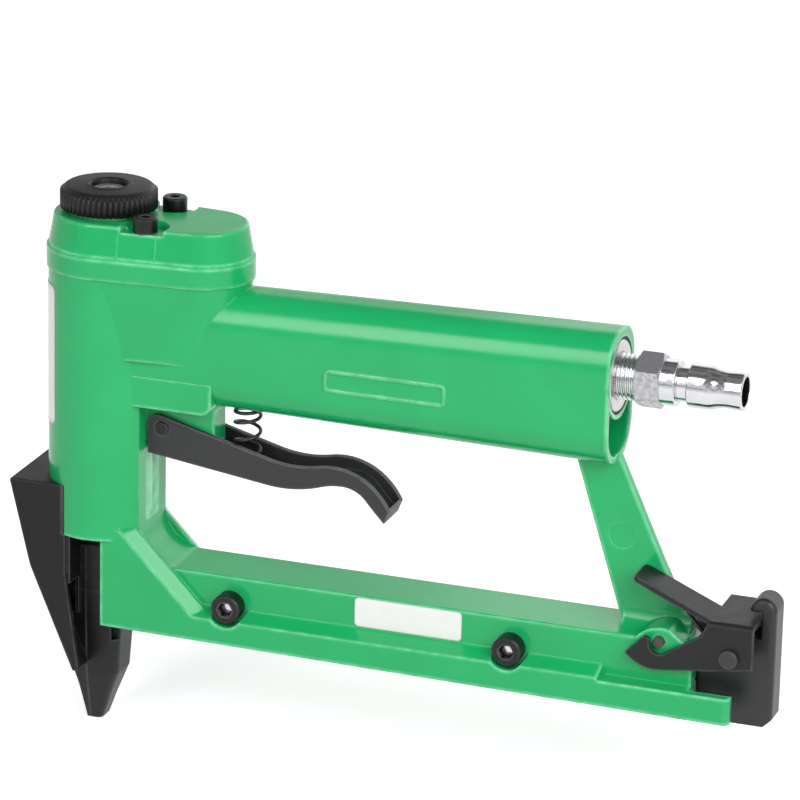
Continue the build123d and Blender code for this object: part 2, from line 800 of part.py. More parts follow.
# Piston with its ring, and the driver blade hung on a cross pin
pin_z = piston_z + pin_rise
blade_top = pin_z + blade_over
ring_z = piston_z + piston_h - ring_drop
with BuildPart() as piston:
    with BuildSketch(Plane.XY.offset(piston_z)):
        with Locations((cylinder_x, 0)):
            Circle(piston_r - run)
    extrude(amount=piston_h)
    with BuildSketch(Plane.XY.offset(ring_z)):
        with Locations((cylinder_x, 0)):
            Circle(piston_r)
            Circle(piston_r - ring_wire, mode=Mode.SUBTRACT)
    extrude(amount=ring_wire, mode=Mode.SUBTRACT)
    with BuildSketch(Plane.XY.offset(piston_z)):
        Rectangle(blade_t + 2 * slip, blade_w + 2 * slip)
    extrude(amount=blade_top - piston_z, mode=Mode.SUBTRACT)
    with BuildSketch(Plane.YZ):
        with Locations((0, pin_z)):
            Circle(pin_r + slip)
    extrude(amount=pin_l / 2, both=True, mode=Mode.SUBTRACT)
save(piston, "piston")

with BuildPart() as piston_ring:
    with BuildSketch(Plane.XY.offset(ring_z)):
        with Locations((cylinder_x, 0)):
            Circle(piston_r - slip)
            Circle(piston_r - ring_wire, mode=Mode.SUBTRACT)
    extrude(amount=ring_wire)
save(piston_ring, "piston_ring")

with BuildPart() as driver_blade:
    with BuildSketch(Plane.XY.offset(blade_tip_z)):
        Rectangle(blade_t, blade_w)
    extrude(amount=blade_top - blade_tip_z)
    with BuildSketch(Plane.YZ):
        with Locations((0, pin_z)):
            Circle(pin_r + slip)
    extrude(amount=blade_t, both=True, mode=Mode.SUBTRACT)
save(driver_blade, "driver_blade")

with BuildPart() as driver_pin:
    with BuildSketch(Plane.YZ):
        with Locations((0, pin_z)):
            Circle(pin_r)
    extrude(amount=pin_l / 2, both=True)
save(driver_pin, "driver_pin")

# Trigger valve: liner, spool with its stem and rings, and the return spring under the cap
spool_z = valve_z + spool_rise
spool_top = spool_z + spool_l
ring_spots = [spool_z + height for height in spool_ring_at]
with BuildPart() as valve_sleeve:
    with BuildSketch(Plane.XY.offset(valve_z)):
        with Locations((valve_x, 0)):
            Circle(valve_sleeve_r)
            Circle(spool_r + run, mode=Mode.SUBTRACT)
    extrude(amount=spool_top + 2 * stem_r - valve_z)
    with BuildSketch(Plane.YZ.offset(valve_x)):
        with Locations((0, air_z)):
            Circle(stem_r)
    extrude(amount=valve_sleeve_r + slip, mode=Mode.SUBTRACT)
save(valve_sleeve, "valve_sleeve")

with BuildPart() as valve_spool:
    with BuildSketch(Plane.XY.offset(spool_z)):
        with Locations((valve_x, 0)):
            Circle(spool_r)
    extrude(amount=spool_l)
    for ring_at in ring_spots:
        with BuildSketch(Plane.XY.offset(ring_at)):
            with Locations((valve_x, 0)):
                Circle(spool_r)
                Circle(spool_r - ring_wire, mode=Mode.SUBTRACT)
        extrude(amount=ring_wire, mode=Mode.SUBTRACT)
    stem_z = web_z(valve_x) + stem_gap
    with BuildSketch(Plane.XY.offset(stem_z)):
        with Locations((valve_x, 0)):
            Circle(stem_r)
    extrude(amount=spool_z - stem_z)
    fillet(valve_spool.edges().sort_by(Axis.Z)[0], stem_r / 2)
save(valve_spool, "valve_spool")

with BuildPart() as spool_rings:
    for ring_at in ring_spots:
        with BuildSketch(Plane.XY.offset(ring_at)):
            with Locations((valve_x, 0)):
                Circle(spool_r + slip)
                Circle(spool_r - ring_wire, mode=Mode.SUBTRACT)
        extrude(amount=ring_wire)
save(spool_rings, "spool_rings")

with BuildPart() as valve_spring:
    valve_seat = Plane((valve_x, 0, spool_top + slip))
    with BuildLine() as valve_coil:
        valve_room = cap_roof_z - spool_top - 2 * slip
        wind(valve_seat, valve_spring_r, valve_spring_wire, valve_room, valve_spring_turns)
    with BuildSketch(valve_seat):
        with Locations((valve_spring_r, 0)):
            Circle(valve_spring_wire / 2)
    sweep()
save(valve_spring, "valve_spring")
print("valve spring, least gap between turns:", round(least_gap(valve_coil.wire(), valve_spring_wire), 2))

# Trigger: a bent sheet channel, open at the top, with its finger hook at the rear
with BuildPart() as trigger_lever:
    with BuildSketch(Plane.XZ):
        trigger_outline()
    extrude(amount=trigger_w / 2, both=True)
    with BuildSketch(Plane.XZ):
        trigger_outline(trigger_web)
    extrude(amount=trigger_w / 2 - trigger_wall, both=True, mode=Mode.SUBTRACT)
    with BuildSketch(Plane.XZ):
        with Locations((pivot_x, pivot_z)):
            Circle(pivot_r + run)
    extrude(amount=trigger_w, both=True, mode=Mode.SUBTRACT)
save(trigger_lever, "trigger_lever")

with BuildPart() as trigger_pin:
    with BuildSketch(Plane.XZ):
        with Locations((pivot_x, pivot_z)):
            Circle(pivot_r)
    extrude(amount=trigger_w / 2 + pivot_out, both=True)
    fillet(trigger_pin.edges().filter_by(GeomType.CIRCLE), pivot_round)
save(trigger_pin, "trigger_pin")

# Trigger return spring, between the trigger's web and the underside of the grip
with BuildPart() as trigger_spring:
    spring_low = web_z(spring_x + spring_r) + slide
    spring_high = grip_z(spring_x, handle_bottom) - slide
    spring_seat = Plane((spring_x, 0, spring_low))
    with BuildLine() as trigger_coil:
        wind(spring_seat, spring_r, spring_wire, spring_high - spring_low, spring_turns)
    with BuildSketch(spring_seat):
        with Locations((spring_r, 0)):
            Circle(spring_wire / 2)
    sweep()
save(trigger_spring, "trigger_spring")
print("trigger spring, least gap between turns:", round(least_gap(trigger_coil.wire(), spring_wire), 2))

# Air inlet: steel bush in the grip's end, its seal, and the plug
with BuildPart() as inlet_bush:
    with BuildSketch(Plane.YZ.offset(handle_x - bush_l)):
        with Locations((0, air_z)):
            Circle(bush_r)
            Circle(thread_r + slip, mode=Mode.SUBTRACT)
    extrude(amount=bush_l)
    chamfer(inlet_bush.faces().sort_by(Axis.X)[-1].edges(), bush_edge)
save(inlet_bush, "inlet_bush")

with BuildPart() as inlet_seal:
    with BuildSketch(Plane.YZ.offset(handle_x - seal_w)):
        with Locations((0, air_z)):
            Circle(bush_r + seal_t - slip)
            Circle(bush_r + slip, mode=Mode.SUBTRACT)
    extrude(amount=seal_w - slide)
save(inlet_seal, "inlet_seal")

with BuildPart() as air_plug:
    hex_end = hex_x + hex_l
    collar_end = hex_end + collar_l
    groove_end = collar_end + groove_l
    plug_end = groove_end + plug_l
    sweep_x = groove_end + plug_straight
    waist_x = sweep_x + plug_sweep
    sweep_middle = ((sweep_x + waist_x) / 2, air_z + (plug_r + plug_waist_r) / 2)
    with BuildSketch(Plane.XZ):
        with BuildLine():
            Polyline(
                (waist_x, air_z + plug_waist_r),
                (plug_end - plug_edge, air_z + plug_end_r),
                (plug_end, air_z + plug_end_r - plug_edge),
                (plug_end, air_z),
                (handle_x - thread_in, air_z),
                (handle_x - thread_in, air_z + thread_r),
                (handle_x, air_z + thread_r),
                (handle_x, air_z + thread_root),
                (hex_x, air_z + thread_root),
                (hex_x, air_z + collar_r),
                (collar_end - plug_edge, air_z + collar_r),
                (collar_end, air_z + collar_r - plug_edge),
                (collar_end, air_z + groove_r),
                (groove_end, air_z + groove_r),
                (groove_end, air_z + plug_r - plug_edge),
                (groove_end + plug_edge, air_z + plug_r),
                (sweep_x, air_z + plug_r),
            )
            first = TangentArc((sweep_x, air_z + plug_r), sweep_middle, tangent=(1, 0))
            TangentArc(sweep_middle, (waist_x, air_z + plug_waist_r), tangent=first.tangent_at(1))
        make_face()
    revolve(axis=Axis((0, 0, air_z), (1, 0, 0)))
    with BuildSketch(Plane.YZ.offset(hex_x)):
        with Locations((0, air_z)):
            RegularPolygon(hex_af / 2, 6, major_radius=False, rotation=30)
    extrude(amount=hex_l)
    corner = hex_af / 2 / cos(pi / 6) + plug_edge
    bevel = (corner - hex_af / 2) * tan(radians(hex_chamfer))
    with BuildSketch(Plane.XZ):
        with BuildLine():
            Polyline(
                (hex_x, air_z + hex_af / 2),
                (hex_x, air_z + corner),
                (hex_x + bevel, air_z + corner),
                close=True,
            )
        make_face()
        with BuildLine():
            Polyline(
                (hex_end, air_z + hex_af / 2),
                (hex_end, air_z + corner),
                (hex_end - bevel, air_z + corner),
                close=True,
            )
        make_face()
    revolve(axis=Axis((0, 0, air_z), (1, 0, 0)), mode=Mode.SUBTRACT)
    with BuildSketch(Plane.YZ.offset(plug_end)):
        with Locations((0, air_z)):
            Circle(plug_bore_r)
    extrude(amount=-(plug_end - handle_x + thread_in), mode=Mode.SUBTRACT)
save(air_plug, "air_plug")

# Nose: rear guide with the driver groove and the staple window, front plate, and their screws
with BuildPart() as nose_guide:
    for height, rear, half, corner in (*nose_levels, (arm_z[0], nose_rear_x, nose_w / 2, nose_corner)):
        with BuildSketch(Plane.XY.offset(height)):
            with BuildLine():
                Polyline(
                    (rear - corner, half),
                    (split_x, half),
                    (split_x, -half),
                    (rear - corner, -half),
                )
                RadiusArc((rear - corner, -half), (rear, corner - half), -corner)
                Line((rear, corner - half), (rear, half - corner))
                RadiusArc((rear, half - corner), (rear - corner, half), -corner)
            make_face()
    loft(ruled=True)
    with BuildSketch(Plane.XZ):
        with Locations((split_x, arm_z[0])):
            Rectangle(foot_x - split_x, nose_top - arm_z[0], align=(Align.MIN, Align.MIN))
    extrude(amount=nose_w / 2, both=True)
    for side in (1, -1):
        with BuildSketch(Plane.XZ.offset(side * nose_w / 2)):
            with Locations((foot_x, nose_notch[0])):
                Rectangle(nose_w, arm_z[0] - nose_notch[0], align=(Align.MIN, Align.MIN))
        extrude(amount=-side * nose_notch[1], mode=Mode.SUBTRACT)
    with BuildSketch(Plane.XY):
        with Locations((split_x, 0)):
            Rectangle(blade_t + slip, crown + 2 * slip, align=(Align.MIN, Align.CENTER))
    extrude(amount=column_z, mode=Mode.SUBTRACT)
    with BuildSketch(Plane.YZ):
        with Locations((0, slot_floor)):
            Rectangle(crown + 2 * slip, slot_top - slot_floor, align=(Align.CENTER, Align.MIN))
    extrude(amount=foot_x, mode=Mode.SUBTRACT)
    with BuildSketch(Plane.YZ):
        with Locations((nose_screw_y, nose_screw_z), (-nose_screw_y, nose_screw_z)):
            Circle(m3_r + slip)
    extrude(amount=foot_x, both=True, mode=Mode.SUBTRACT)
save(nose_guide, "nose_guide")

with BuildPart() as nose_plate:
    with BuildSketch(Plane.XZ):
        with BuildLine():
            Polyline(
                (split_x, 0),
                (split_x, nose_top),
                (plate_x, nose_top),
                (plate_x, plate_step_z),
                (plate_front_x, plate_step_z),
                (plate_front_x, plate_taper[0]),
                (plate_x - plate_t / 2, plate_taper[1]),
                (plate_x + plate_t / 2, 0),
                close=True,
            )
        make_face()
    extrude(amount=nose_w / 2, both=True)
    sides = [(half, height) for height, rear, half, corner in nose_levels]
    with BuildSketch(Plane.YZ):
        with BuildLine():
            Polyline(
                *sides,
                (nose_w / 2, arm_z[0]),
                (nose_w / 2, nose_top),
                (-nose_w / 2, nose_top),
                (-nose_w / 2, arm_z[0]),
                *[(-half, height) for half, height in reversed(sides)],
                close=True,
            )
        make_face()
    extrude(amount=nose_w, both=True, mode=Mode.INTERSECT)
    with BuildSketch(Plane.YZ):
        with Locations((nose_screw_y, nose_screw_z), (-nose_screw_y, nose_screw_z)):
            Circle(m3_r + slip)
    extrude(amount=foot_x, both=True, mode=Mode.SUBTRACT)
save(nose_plate, "nose_plate")

with BuildPart() as nose_screws:
    nose_spots = [(nose_screw_y, nose_screw_z), (-nose_screw_y, nose_screw_z)]
    head_x = plate_x - tab_t
    with BuildSketch(Plane.YZ.offset(head_x)):
        with Locations(*nose_spots):
            Circle(m3_head_r)
            RegularPolygon(m3_key / 2, 6, major_radius=False, mode=Mode.SUBTRACT)
    extrude(amount=-m3_head_h)
    with BuildSketch(Plane.YZ.offset(head_x)):
        with Locations(*nose_spots):
            Circle(m3_head_r)
    extrude(amount=-m3_head_h / 2)
    with BuildSketch(Plane.YZ.offset(head_x)):
        with Locations(*nose_spots):
            Circle(m3_r)
    extrude(amount=foot_x + nose_thread - head_x)
save(nose_screws, "nose_screws")

# Front guard: folded sheet hood ahead of the nose, held by a tab under the nose screws
upper_drop = guard_top_z - guard_kink[1]
lower_drop = guard_kink[1] - guard_tip[1]
upper_t = guard_t * hypot(guard_kink[0] - guard_front_x, upper_drop) / upper_drop
lower_t = guard_t * hypot(guard_tip[0] - guard_kink[0], lower_drop) / lower_drop
with BuildPart() as front_guard:
    with BuildSketch(Plane.XZ):
        with BuildLine():
            Polyline(
                (guard_rear_x, guard_top_z),
                (guard_front_x, guard_top_z),
                guard_kink,
                guard_tip,
                (guard_tip[0] + guard_tip_w, guard_tip[1]),
                (guard_rear_x, guard_rear_kink_z),
                close=True,
            )
        make_face()
    extrude(amount=guard_w / 2, both=True)
    fillet(front_guard.edges().filter_by(Axis.Y).group_by(Axis.X)[0], guard_fold)
    fillet(front_guard.faces().sort_by(Axis.Z)[-1].edges().filter_by(Axis.X), guard_round)
    with BuildSketch(Plane.XZ):
        with BuildLine():
            Polyline(
                (column_r, guard_top_z - guard_t),
                (guard_front_x + upper_t, guard_top_z - guard_t),
                (guard_kink[0] + (upper_t + lower_t) / 2, guard_kink[1]),
                (guard_tip[0] + lower_t, guard_tip[1]),
                (column_r, guard_tip[1]),
                close=True,
            )
        make_face()
    extrude(amount=guard_w / 2 - guard_t, both=True, mode=Mode.SUBTRACT)
    with BuildSketch(Plane.XY):
        Rectangle(2 * guard_w, nose_w + 4 * slide)
    extrude(amount=plate_step_z, mode=Mode.SUBTRACT)
    with BuildSketch(Plane.XY.offset(column_z)):
        with Locations((cylinder_x, 0)):
            Circle(column_r + slip)
    extrude(amount=column_r, mode=Mode.SUBTRACT)
    with BuildSketch(Plane.YZ.offset(plate_x)):
        with Locations((0, plate_step_z)):
            Rectangle(tab_w, column_z - plate_step_z - slide, align=(Align.CENTER, Align.MIN))
        with Locations((0, tab_z)):
            Rectangle(guard_w - guard_t, column_z - tab_z - slide, align=(Align.CENTER, Align.MIN))
        with Locations((nose_screw_y, nose_screw_z), (-nose_screw_y, nose_screw_z)):
            Circle(m3_r + slip, mode=Mode.SUBTRACT)
    extrude(amount=-tab_t)
save(front_guard, "front_guard")

# Side screws of the magazine arm and the steel liners that they hold
with BuildPart() as side_screws:
    side_spots = [(x, screw_z) for x in screw_x]
    with BuildSketch(Plane.XZ.offset(arm_side)):
        with Locations(*side_spots):
            Circle(m5_head_r)
    extrude(amount=m5_head_h)
    chamfer(side_screws.faces().sort_by(Axis.Y)[:2].edges(), screw_edge)
    with BuildSketch(Plane.XZ.offset(arm_side + m5_head_h)):
        with Locations(*side_spots):
            RegularPolygon(m5_key / 2, 6, major_radius=False)
    extrude(amount=-m5_head_h / 2, mode=Mode.SUBTRACT)
    with BuildSketch(Plane.XZ.offset(slot_w / 2 + slip)):
        with Locations(*side_spots):
            Circle(m5_r)
    extrude(amount=arm_side - slot_w / 2 - slip)
save(side_screws, "side_screws")

with BuildPart() as channel_liners:
    with BuildSketch(Plane.YZ.offset(tee_x)):
        for side in (1, -1):
            with Locations((side * (slot_w / 2 - liner_t / 2), tee_z[1])):
                Rectangle(liner_t, slot_top - tee_z[1], align=(Align.CENTER, Align.MIN))
    extrude(amount=arm_end_x - tee_x)
save(channel_liners, "channel_liners")

with BuildPart() as catch_pin:
    with BuildSketch(Plane.XZ):
        with Locations((catch_x, catch_z)):
            Circle(catch_r)
    extrude(amount=latch_inner - slide, both=True)
save(catch_pin, "catch_pin")

# Sliding magazine: folded steel rail with the staple core, in the arm's tee slot
rail_z = tee_z[0] + slide
rail_top = tee_z[1] - slide
rail_half = tee_w / 2 - slide
groove_z = rail_z + rail_floor
rod_z = (groove_z + rail_top) / 2
with BuildPart() as staple_rail:
    with BuildSketch(Plane.YZ.offset(tee_x + slide)):
        with Locations((0, rail_z)):
            Rectangle(2 * rail_half, rail_top - rail_z, align=(Align.CENTER, Align.MIN))
    extrude(amount=block_x - tee_x - slide)
    with BuildSketch(Plane.YZ.offset(tee_x + slide + rail_wall)):
        with Locations((0, groove_z)):
            Rectangle(2 * (rail_half - rail_wall), rail_top - groove_z, align=(Align.CENTER, Align.MIN))
    extrude(amount=block_x, mode=Mode.SUBTRACT)
    with BuildSketch(Plane.XZ):
        with BuildLine():
            Polyline(
                (foot_x + slide, slot_floor + 2 * slide),
                (foot_x + slide, core_top),
                (block_x, core_top),
                (block_x, groove_z),
                (tee_x + slide, groove_z),
                (tee_x + slide, slot_floor + 2 * slide),
                close=True,
            )
        make_face()
    extrude(amount=core_t / 2, both=True)
    with BuildSketch(Plane.YZ.offset(tee_x)):
        with Locations((rod_y, rod_z)):
            Circle(rod_r + slip)
    extrude(amount=block_x, mode=Mode.SUBTRACT)
save(staple_rail, "staple_rail")

# Pusher: saddle over the core, with a lug that the feed spring presses
pusher_end = pusher_x + pusher_l
with BuildPart() as pusher:
    with BuildSketch(Plane.YZ.offset(pusher_x)):
        with Locations((0, rail_top + slide)):
            Rectangle(crown - 2 * slide, slot_top - rail_top - 2 * slide, align=(Align.CENTER, Align.MIN))
            Rectangle(
                core_t + 2 * slide, core_top - rail_top, align=(Align.CENTER, Align.MIN), mode=Mode.SUBTRACT
            )
    extrude(amount=pusher_l)
    with BuildSketch(Plane.YZ.offset(pusher_end)):
        with Locations((core_t / 2 + slide, groove_z + slide)):
            Rectangle(
                rail_half - rail_wall - core_t / 2 - 2 * slide,
                rail_top - groove_z - slide,
                align=(Align.MIN, Align.MIN),
            )
            Rectangle(
                crown / 2 - 2 * slide - core_t / 2, rail_top + slide - groove_z, align=(Align.MIN, Align.MIN)
            )
        with Locations((rod_y, rod_z)):
            Circle(rod_r + run, mode=Mode.SUBTRACT)
    extrude(amount=-pusher_lug_l)
save(pusher, "pusher")

with BuildPart() as feed_rod:
    with BuildSketch(Plane.YZ.offset(tee_x + slide)):
        with Locations((rod_y, rod_z)):
            Circle(rod_r)
    extrude(amount=block_x - tee_x - slide)
save(feed_rod, "feed_rod")

with BuildPart() as feed_spring:
    feed_seat = Plane((pusher_end + slip, rod_y, rod_z), x_dir=(0, 1, 0), z_dir=(1, 0, 0))
    with BuildLine() as feed_coil:
        wind(feed_seat, feed_spring_r, feed_spring_wire, block_x - pusher_end - 2 * slip, feed_spring_turns)
    with BuildSketch(feed_seat):
        with Locations((feed_spring_r, 0)):
            Circle(feed_spring_wire / 2)
    sweep()
save(feed_spring, "feed_spring")
print("feed spring, least gap between turns:", round(least_gap(feed_coil.wire(), feed_spring_wire), 2))

# End block of the magazine, with ears for the latch and an overhanging lip
back_x = block_end_x - block_back_t
with BuildPart() as end_block:
    with BuildSketch(Plane.XZ):
        with BuildLine():
            Polyline(
                block_lip,
                (back_x, block_lip[1]),
                (back_x, block_shelf),
                (block_x + block_step[0], block_shelf),
                (block_x, block_shelf - block_step[1]),
                (block_x, block_low),
                (block_end_x - block_chamfer[0], block_low),
                (block_end_x, block_low + block_chamfer[1]),
                (block_end_x, block_lip[1]),
            )
            TangentArc((block_end_x, block_lip[1]), block_lip, tangent=(0, 1))
        make_face()
    extrude(amount=block_w / 2, both=True)
    fillet(end_block.edges().filter_by(Axis.Z).group_by(Axis.X)[-1], block_round)
    with BuildSketch(Plane.XZ):
        with Locations(latch_pivot):
            Circle(latch_ear_r)
    extrude(amount=ear_w / 2, both=True)
    with BuildSketch(Plane.XZ):
        with Locations(latch_pivot):
            Circle(latch_pin_r + slip)
    extrude(amount=latch_w, both=True, mode=Mode.SUBTRACT)
save(end_block, "end_block")

with BuildPart() as latch_pin:
    with BuildSketch(Plane.XZ):
        with Locations(latch_pivot):
            Circle(latch_pin_r)
    extrude(amount=latch_w / 2 + slide, both=True)
    for side in (1, -1):
        with BuildSketch(Plane.XZ.offset(side * (latch_w / 2 + slide))):
            with Locations(latch_pivot):
                Circle(latch_head_r)
        extrude(amount=side * latch_head_t)
    fillet(latch_pin.faces().sort_by(Axis.Y)[0].edges(), latch_head_round)
    fillet(latch_pin.faces().sort_by(Axis.Y)[-1].edges(), latch_head_round)
save(latch_pin, "latch_pin")

# Latch lever: bent sheet saddle with a hook on each side and a thumb tab
with BuildPart() as latch_lever:
    with BuildSketch(Plane.XZ):
        with BuildLine():
            Polyline(*latch_hook[:3])
            RadiusArc(latch_hook[2], latch_hook[3], -2 * catch_r)
            Polyline(
                latch_hook[3],
                latch_neck[0],
                (latch_x[0], latch_top),
                (latch_x[1], latch_top),
                *latch_neck[1:],
            )
            slope = (latch_neck[3][0] - latch_neck[2][0], latch_neck[3][1] - latch_neck[2][1])
            TangentArc(latch_neck[3], latch_hook[0], tangent=slope)
        make_face()
    extrude(amount=latch_w / 2, both=True)
    fillet(latch_lever.faces().sort_by(Axis.Z)[-1].edges().filter_by(Axis.X), latch_round)
    with BuildSketch(Plane.XZ):
        with Locations((latch_hook[0][0], 0)):
            Rectangle(
                2 * (latch_x[1] - latch_hook[0][0]), latch_top - latch_t, align=(Align.MIN, Align.MIN)
            )
    extrude(amount=latch_inner, both=True, mode=Mode.SUBTRACT)
    with BuildSketch(Plane.XZ):
        with Locations(latch_pivot):
            Circle(latch_pin_r + run)
    extrude(amount=latch_w, both=True, mode=Mode.SUBTRACT)
    with BuildSketch(Plane.XZ.offset(-thumb_y[1])):
        with BuildLine():
            Polyline(
                thumb_end,
                (thumb_end[0] - latch_t / 2, thumb_end[1] - latch_t),
                (latch_x[0], latch_top - latch_t),
                (latch_x[0] + 2 * latch_t, latch_top - latch_t),
                (latch_x[0] + 2 * latch_t, latch_top),
                (latch_x[0] + latch_t, latch_top),
                close=True,
            )
        make_face()
    extrude(amount=thumb_y[1] - thumb_y[0])
    fillet(latch_lever.faces().sort_by(Axis.X)[0].edges().sort_by(SortBy.LENGTH)[:2], thumb_round)
save(latch_lever, "latch_lever")

# Leaf spring that lifts the thumb tab
with BuildPart() as latch_leaf:
    with BuildSketch(Plane.XZ):
        with BuildLine():
            Polyline(
                (leaf_x[0], block_shelf),
                (leaf_x[1], block_shelf),
                (leaf_x[2], block_shelf + leaf_rise),
                (leaf_x[2], block_shelf + leaf_rise + leaf_t),
                (leaf_x[1], block_shelf + leaf_t),
                (leaf_x[0], block_shelf + leaf_t),
                close=True,
            )
        make_face()
    extrude(amount=leaf_w / 2, both=True)
save(latch_leaf, "latch_leaf")
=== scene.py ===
"""Look of the pneumatic frame stapler: finishes, stickers, springs, small pieces and stage on its frame."""
from math import cos, pi, radians, sin, tan

import bmesh
import bpy
import numpy as np
from bpy.props import FloatProperty, FloatVectorProperty, IntProperty, PointerProperty
from mathutils import Matrix, Vector


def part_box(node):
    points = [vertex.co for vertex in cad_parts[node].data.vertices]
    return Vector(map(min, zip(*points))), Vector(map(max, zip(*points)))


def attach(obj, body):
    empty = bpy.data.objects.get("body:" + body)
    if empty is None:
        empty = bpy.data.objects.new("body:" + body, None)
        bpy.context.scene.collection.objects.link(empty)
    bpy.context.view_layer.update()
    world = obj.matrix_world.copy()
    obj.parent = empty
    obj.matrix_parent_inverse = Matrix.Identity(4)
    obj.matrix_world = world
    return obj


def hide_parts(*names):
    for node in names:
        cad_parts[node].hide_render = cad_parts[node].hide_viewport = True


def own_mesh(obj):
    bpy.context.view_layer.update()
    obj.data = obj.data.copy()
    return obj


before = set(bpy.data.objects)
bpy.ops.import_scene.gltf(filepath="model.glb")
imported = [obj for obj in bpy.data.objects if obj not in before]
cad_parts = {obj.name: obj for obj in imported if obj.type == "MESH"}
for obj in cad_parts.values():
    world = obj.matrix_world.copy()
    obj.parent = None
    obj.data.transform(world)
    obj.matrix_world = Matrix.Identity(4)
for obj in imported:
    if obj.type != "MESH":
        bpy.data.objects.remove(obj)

bl_info = {
    "name": "Frame stapler look",
    "version": (1, 0, 0),
    "blender": (4, 5, 0),
    "location": "View3D > Sidebar > Stapler",
    "description": "Finishes, stickers, springs, small pieces and studio stage of a pneumatic frame stapler",
    "category": "Object",
}

# The pieces that share one finish
GREEN = ("body_casting", "head_cap")
BLACK_BLOCK = ("nose_guide", "nose_plate")
BLACK_SCREWS = ("cap_screws", "nose_screws", "side_screws", "trigger_pin")
STEEL = ("driver_blade", "driver_pin", "channel_liners", "staple_rail", "pusher", "feed_rod")
ALUMINIUM = ("cylinder_sleeve", "piston")
BRASS = ("valve_sleeve", "valve_spool")
RUBBER = ("bumper", "piston_ring", "spool_rings", "inlet_seal")

# The exhaust knob stands on the column's axis, and the head's front lobe is as wide as the column
COLUMN_AXIS = float(np.mean(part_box("exhaust_deflector"), axis=0)[0])
COLUMN_RADIUS = 0.017
PLUG_HEIGHT = float(np.mean(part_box("air_plug"), axis=0)[2])
GUARD_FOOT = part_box("front_guard")[0][2]
# X of the two end faces of the plug's hexagon, not a property: rounding would leave the rear face out
PLUG_HEXAGON = (0.1598, 0.1669)

# Each softbox: its turn off the object's near side, its rise, its width and height, and its watts
SOFTBOXES = {
    "right softbox": (radians(48), radians(31), (1.2, 1.1), 21.0),
    "left softbox": (radians(-23), radians(35), (0.45, 1.15), 9.5),
    "end softbox": (radians(69), radians(43), (0.4, 0.4), 1.1),
    "back softbox": (radians(168), radians(24), (1.8, 1.6), 7.5),
}


def linear(code):
    """Linear RGBA of an sRGB hex colour: each channel undoes the sRGB curve."""
    srgb = np.array([int(code[i:i + 2], 16) for i in (1, 3, 5)]) / 255
    rgb = np.where(srgb <= 0.04045, srgb / 12.92, ((srgb + 0.055) / 1.055) ** 2.4)
    return (*rgb.tolist(), 1.0)


def number(name, description, default):
    """Property that holds a plain number."""
    return FloatProperty(name=name, description=description, default=default)


def length(name, description, default):
    """Property that holds a length."""
    return FloatProperty(name=name, description=description, default=default, unit="LENGTH")


def lengths(name, description, *default):
    """Property that holds a row of lengths."""
    return FloatVectorProperty(name=name, description=description, default=default, size=len(default),
                               unit="LENGTH")


def place(name, description, *default):
    """Property that holds a point."""
    return FloatVectorProperty(name=name, description=description, default=default, subtype="TRANSLATION")


def angle(name, description, degrees):
    """Property that holds an angle, given in degrees."""
    return FloatProperty(name=name, description=description, default=radians(degrees), subtype="ANGLE")


def tone(name, description, code):
    """Property that holds a colour, given as sRGB hex."""
    return FloatVectorProperty(name=name, description=description, default=linear(code), size=4,
                               subtype="COLOR")


class FinishSettings(bpy.types.PropertyGroup):
    """Colours of the enamel, the stickers and the floor."""

    enamel_dark: tone("Enamel dark", "Darker tone of the enamel", "#12A65D")
    enamel_light: tone("Enamel light", "Lighter tone of the enamel", "#1CB66C")
    # Paler edge tone of the enamel: partly paint drawn thin, partly a painted highlight along the edges
    enamel_edge_highlight: tone("Enamel edge", "Enamel drawn thin over an edge", "#74DCA4")
    # Paler tone of the joint's bead: a painted highlight along its crest
    enamel_joint_highlight: tone("Enamel joint", "Crest of the enamel in a joint", "#45C785")
    vinyl_dark: tone("Vinyl dark", "Darker tone of the stickers", "#ECECEA")
    vinyl_light: tone("Vinyl light", "Lighter tone of the stickers", "#F4F4F3")
    vinyl_edge: tone("Vinyl edge", "Cut edge of the stickers", "#C9CCCA")
    floor_dark: tone("Floor dark", "Darker tone of the floor", "#E6E6E6")
    floor_light: tone("Floor light", "Lighter tone of the floor", "#E9E9E9")


class StickerSettings(bpy.types.PropertyGroup):
    """Sizes and places of the two blank stickers."""

    thickness: length("Thickness", "Thickness of the vinyl", 0.00012)
    arm_low: lengths("Arm low", "Low front corner on the arm's side, along X and Z", 0.0821, 0.0427)
    arm_high: lengths("Arm high", "High rear corner on the arm's side, along X and Z", 0.1138, 0.0514)
    arm_side: length("Arm side", "Y of the arm's near side", -0.0095)
    arm_corner: length("Arm corner", "Corner radius of the arm's sticker", 0.0012)
    column_axis: length("Column axis", "X of the column's axis", COLUMN_AXIS)
    column_radius: length("Column radius", "Radius of the column", COLUMN_RADIUS)
    column_angle: angle("Column angle", "Angle the sticker reaches round to each side", 50)
    column_low: length("Column low", "Lower edge on the column", 0.0912)
    column_high: length("Column high", "Upper edge on the column", 0.1323)
    column_corner: length("Column corner", "Corner radius of the column's sticker", 0.0022)


class SpringSettings(bpy.types.PropertyGroup):
    """Wire and turns of the three wound springs, and the latch's leaf."""

    trigger_wire: length("Trigger wire", "Wire of the trigger's spring", 0.00105)
    trigger_turns: number("Trigger turns", "Turns of the trigger's spring", 5.5)
    valve_wire: length("Valve wire", "Wire of the valve's spring", 0.001)
    valve_turns: number("Valve turns", "Turns of the valve's spring", 5.0)
    feed_wire: length("Feed wire", "Wire of the feed spring", 0.0006)
    feed_turns: number("Feed turns", "Turns of the feed spring", 34.0)
    leaf_sheet: length("Leaf sheet", "Sheet of the latch's leaf", 0.0006)
    leaf_near: length("Leaf near", "Y of the leaf's near edge", -0.008)
    leaf_bend: length("Leaf bend", "X where the leaf bends up off its shelf", 0.1826)


